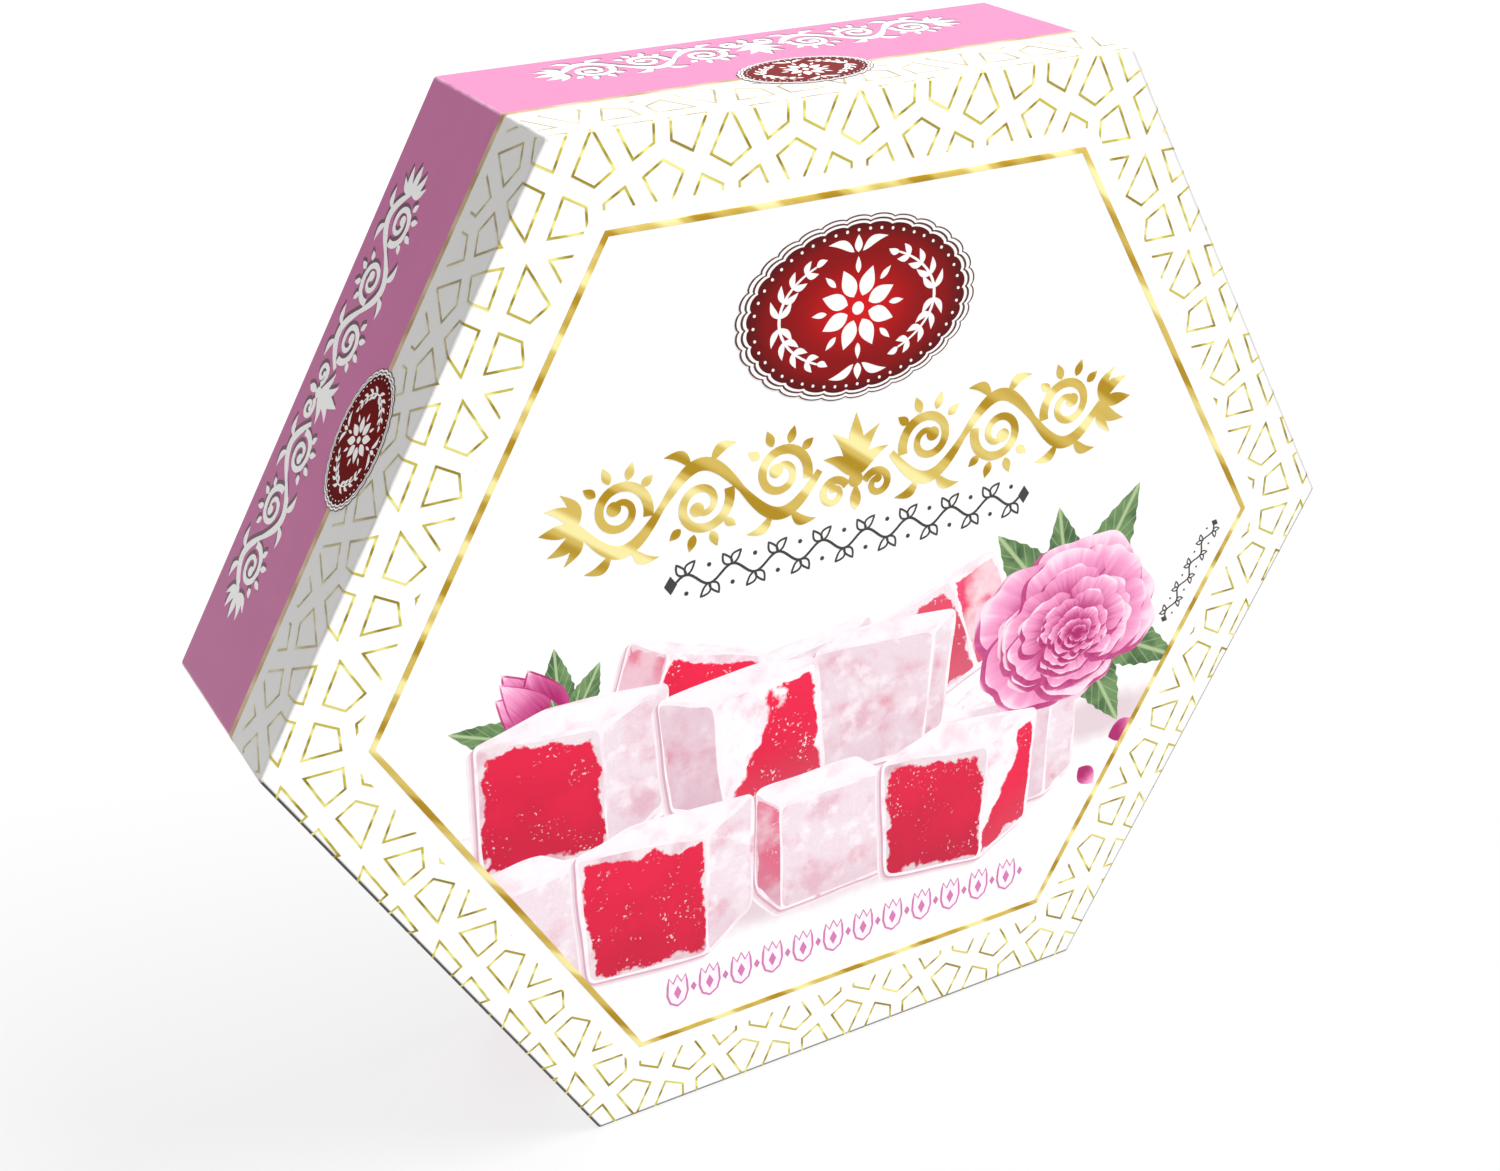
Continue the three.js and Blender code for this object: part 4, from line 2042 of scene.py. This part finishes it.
    def _rose(self, draw: random.Random) -> list[Field]:
        """Draws the open rose, ring by ring from the outside in, each petal over its own shade.

        Args:
            draw: The source of its unevenness.

        Returns:
            Its fields, lowest first.
        """
        fields: list[Field] = []
        for ring, (count, reach, spread) in enumerate(self.rings):
            depth = ring / (len(self.rings) - 1)
            middle = (self.rose[0] + 1.6 * depth, self.rose[1] - 2.2 * depth)
            for i in range(count):
                heading = tau * (i + 0.5 * (ring % 2)) / count + 0.3 * ring + draw.uniform(-0.3, 0.3)
                far = self.rose_radius * reach * draw.uniform(0.86, 1.08) * (1 + 0.08 * sin(heading))
                wide = spread * draw.uniform(0.86, 1.12)
                seed = draw.randrange(1000)
                shift = draw.uniform(0.0, 9.0)
                below = (middle[0] - 0.45, middle[1] - 0.55)
                shade = (shift, 0.75 + 0.3 * depth)
                fields.append(self._petal(below, heading, 1.03 * far, wide * 1.05, shade, seed))
                lit = (shift, 0.28 * depth + draw.uniform(-0.06, 0.12))
                fields.append(self._petal(middle, heading, far, wide, lit, seed))
        return fields

    def _blade(
        self, base: Point, tip: Point, width: float, ink: Finish, tone: Point, tooth: float = 0.0
    ) -> Field:
        """Draws a leaf, or a petal seen from its side.

        Args:
            base: Where it grows from.
            tip: Its far end.
            width: Its greatest width.
            ink: Its ink.
            tone: Its tone map.
            tooth: How deep its edge is toothed, as a part of its half width.

        Returns:
            The field.
        """
        start, axis = Vector(base), Vector(tip) - Vector(base)
        side = Vector((-axis.y, axis.x)).normalized() * width / 2
        steps = self.leaf_steps
        right = [(t / steps, -1.0) for t in range(steps + 1)]
        left = [(t / steps, 1.0) for t in range(steps - 1, 0, -1)]
        outline: Outline = []
        for i, (t, hand) in enumerate(right + left):
            jag = 1.0 + tooth * (1 if i % 2 else -0.4)
            outline.append(tuple(start + axis * t + side * sin(pi * t**0.85) * jag * hand))

        def local(x: float, y: float) -> Point:
            """Across the blade from -1 to 1, and along it from 0 to 1."""
            off = Vector((x, y)) - start
            return off.dot(side) / side.length_squared, off.dot(axis) / axis.length_squared

        return Field(outline, ink, local, tone)

    def _spray(self, root: Point, blades: Sequence[Triple]) -> list[Field]:
        """Draws leaves that fan out from one root.

        Args:
            root: Where they grow from.
            blades: For each leaf its heading in degrees, its reach and its width.

        Returns:
            Their fields, lowest first.
        """
        fields: list[Field] = []
        for i, (degrees, reach, width) in enumerate(blades):
            tip = around(root, radians(degrees), reach, reach)
            fields.append(self._blade(root, tip, width, LEAF_GREEN, (1.7 * i, 0.0), self.tooth))
        return fields

    def _bud(self, root: Point, heading: float, size: float) -> list[Field]:
        """Draws a half-open bud: wrapped petals over their sepals.

        Args:
            root: Where it sits on its stalk.
            heading: The way it points, in radians.
            size: Its length.

        Returns:
            Its fields, lowest first.
        """
        behind = ((0.0, 1.0, 0.5, 0.3), (0.252, 0.86, 0.5, 0.15), (-0.252, 0.86, 0.5, 0.4))
        fields: list[Field] = []
        for i, (swing, reach, width, depth) in enumerate((*behind, (0.084, 0.94, 0.42, 0.0))):
            for grow, tone in ((1.04, depth + 0.5), (1.0, depth)):
                far = grow * reach * size
                tip = around(root, heading + swing, far, far)
                fields.append(self._blade(root, tip, width * grow * size, PETAL, (2.3 * i, tone)))
        foot = around(root, heading, -0.12 * size, -0.12 * size)
        for i, (swing, reach) in enumerate(((0.9, 0.62), (-0.9, 0.6), (0.3, 0.5), (-0.35, 0.55))):
            tip = around(foot, heading + swing, reach * size, reach * size)
            fields.append(self._blade(foot, tip, 0.2 * size, LEAF_GREEN, (1.1 * i, 0.0)))
        return fields

    def _ground(self) -> list[Field]:
        """The soft shades on the pictured powder, under the heap and under the rose.

        Returns:
            Their fields.
        """
        shades: list[Field] = []
        for place in (((-9.0, -47.0), 62.0, 8.0), ((50.0, -33.0), 21.0, 6.5)):
            shades.append(Field(oval(*place, 64), SOFT_SHADE, from_centre(*place)))
        return shades

    def build(self) -> Piece:
        """Draws the picture and lays it on the front panel.

        Returns:
            The piece.
        """
        draw = random.Random(self.seed)
        fields = self._ground()
        fields += self._spray((-50.0, -8.0), ((158.0, 19.0, 6.0), (92.0, 16.5, 5.5), (62.0, 14.0, 5.0)))
        fields += self._bud((-50.5, -6.0), radians(124.0), 14.5)
        order = sorted(self.sweets, key=lambda sweet: (-sweet.away, sweet.up))
        for sweet in (s for s in order if s.away > self.rose_away):
            fields += self._sweet(sweet, draw)
        above = ((128.0, 26.0, 9.0), (62.0, 26.5, 9.5), (100.0, 23.0, 8.0))
        fields += self._spray(self.rose, (*above, (-28.0, 27.0, 9.0), (-62.0, 25.0, 8.5)))
        fields += self._rose(draw)
        for sweet in (s for s in order if s.away <= self.rose_away):
            fields += self._sweet(sweet, draw)
        for base, tip, width in (((53.0, -38.0), (59.5, -36.5), 4.6), ((47.0, -42.5), (50.5, -46.8), 3.6)):
            fields.append(self._blade(base, tip, width, PETAL, (base[0], 0.0)))
        return Sheet.from_fields(fields, hexagon(self.crop_corner)).lay("picture", self.form.front, self.lift)


@dataclass(frozen=True)
class Studio:
    """The camera, the floor and the lamps."""

    form: CartonForm
    azimuth: float = radians(-28.98)
    elevation: float = radians(27.24)
    roll: float = radians(-0.59)
    panel_middle: Triple = (15.99, -4.87, 326.1)
    lens: float = 50.25
    sensor: float = 36.0
    nearest: float = 0.01
    floor_half: float = 6.0
    sky: float = 0.38
    lamps: tuple[tuple[str, Triple, float, float], ...] = (
        ("key_lamp", (0.56, -0.25, 0.79), 4.0, 40.0),
        ("fill_lamp", (0.35, -0.93, 0.1), 0.85, 60.0),
        ("rim_lamp", (0.43, 0.78, 0.455), 0.4, 50.0),
    )

    def build_camera(self) -> None:
        """Sets the camera so that the front panel's middle lies where panel_middle says.

        panel_middle is right of, above and ahead of the camera, in millimetres.
        """
        turn = Matrix.Rotation(self.azimuth, 3, "Z") @ Matrix.Rotation(pi / 2 - self.elevation, 3, "X")
        turn = turn @ Matrix.Rotation(self.roll, 3, "Z")
        x, y, ahead = self.panel_middle
        middle = self.form.metres(0.0, -self.form.depth / 2, 0.0)
        spot = middle - turn @ Vector((x, y, -ahead)) * MM
        data = bpy.data.cameras.new("camera")
        data.lens = self.lens
        data.sensor_width = self.sensor
        data.sensor_fit = "HORIZONTAL"
        data.clip_start = self.nearest
        camera = put("camera", data)
        camera.matrix_world = Matrix.Translation(spot) @ turn.to_4x4()
        bpy.context.scene.camera = camera

    def build_floor(self) -> Piece:
        """Builds a wide pale light table at the foot of the carton.

        Returns:
            The floor.
        """
        half = self.floor_half
        corners = [(-half, -half, 0.0), (half, -half, 0.0), (half, half, 0.0), (-half, half, 0.0)]
        return put("floor", skin("floor", corners, [(0, 1, 2, 3)], [OPAL_TABLE]))

    def build_lamps(self) -> None:
        """Lights the carton with far, soft lamps and a pale sky.

        The key lamp stands at the upper right, so that the left walls lie in soft shade. A weaker one
        fills the front and the weakest shines from behind. Each has a name, the way that it stands in,
        its strength and how wide it looks, in degrees.
        """
        for name, way, energy, angle in self.lamps:
            data = bpy.data.lights.new(name, "SUN")
            data.energy = energy
            data.angle = radians(angle)
            put(name, data).rotation_euler = Vector(way).to_track_quat("Z", "Y").to_euler()
        world = bpy.data.worlds.new("studio")
        world.use_nodes = True
        background = world.node_tree.nodes["Background"].inputs
        background["Color"].default_value = linear("#FFFFFF")
        background["Strength"].default_value = self.sky
        bpy.context.scene.world = world
        bpy.context.scene.view_settings.view_transform = "Standard"


def ready(pieces: Iterable[Piece], slot: str) -> None:
    """Makes pieces ride on the carton's body and reports them with their slot.

    Args:
        pieces: The finished pieces.
        slot: The name of their material slot, which is logged.
    """
    for piece in pieces:
        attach(piece, "root")
        LOG.info("%s: %d faces, slot %s", piece.name, len(piece.data.polygons), slot)


def main() -> None:
    """Builds the carton on the frame, then the studio round it."""
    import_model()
    form = CartonForm.from_box(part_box("carton"))
    studio = Studio(form)
    studio.build_camera()

    board = Board(form).build()
    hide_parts("carton")
    ready([board], "printed_board")

    border = GirihBorder(form)
    bands = [border.build_wall(wall) for wall in range(WALLS)]
    ready([*border.build_panels(), *bands], "gold_foil")

    rules = FoilRules(form)
    ready([*rules.build_frames(), rules.build_wall_line()], "gold_foil")

    seal = Medallion()
    wall_seal = Medallion(red=SEAL_MAROON, white=WHITE_INK_PAINTED_GLOW)
    ready(seal.build("seal_front", form.on_front((0.0, 50.7))), "print_ink")
    ready(seal.build("seal_back", form.on_back((0.0, 12.0))), "print_ink")
    scroll = ScrollOrnament()
    scroll_front = scroll.build("scroll_front", form.on_front((0.0, 26.5)), GOLD_FOIL)
    scroll_back = scroll.build("scroll_back", form.on_back((0.0, -18.0), 0.75), GOLD_FOIL)
    ready([scroll_front, scroll_back], "gold_foil")
    for wall in range(WALLS):
        ready(wall_seal.build(f"seal_{wall}", form.on_wall(wall, (0.8, -13.5), 0.52)), "print_ink")
        place = form.on_wall(wall, (0.0, -29.6), 0.69)
        ready([scroll.build(f"scroll_{wall}", place, WHITE_INK_PAINTED_GLOW, ORNAMENT_SHADOW)], "print_ink")

    ready([HairlineVine().build("hairline_vine", form.on_front((0.0, 13.7)))], "print_ink")
    sprig = HairlineVine(half_width=9.0, swing=0.6, wave=4.5, line=0.3, leaf_reach=1.7)
    along_frame = form.on_front((68.0, -9.3), radians(60.0))
    ready([sprig.build("hairline_sprig", along_frame)], "print_ink")
    ready(BudRow().build(form.on_front((0.0, -60.1))), "print_ink")
    ready([StillLife(form).build()], "print_ink")

    studio.build_floor()
    studio.build_lamps()


if __name__ == "__main__":
    logging.basicConfig(level=logging.INFO, format="%(name)s %(message)s")
    main()
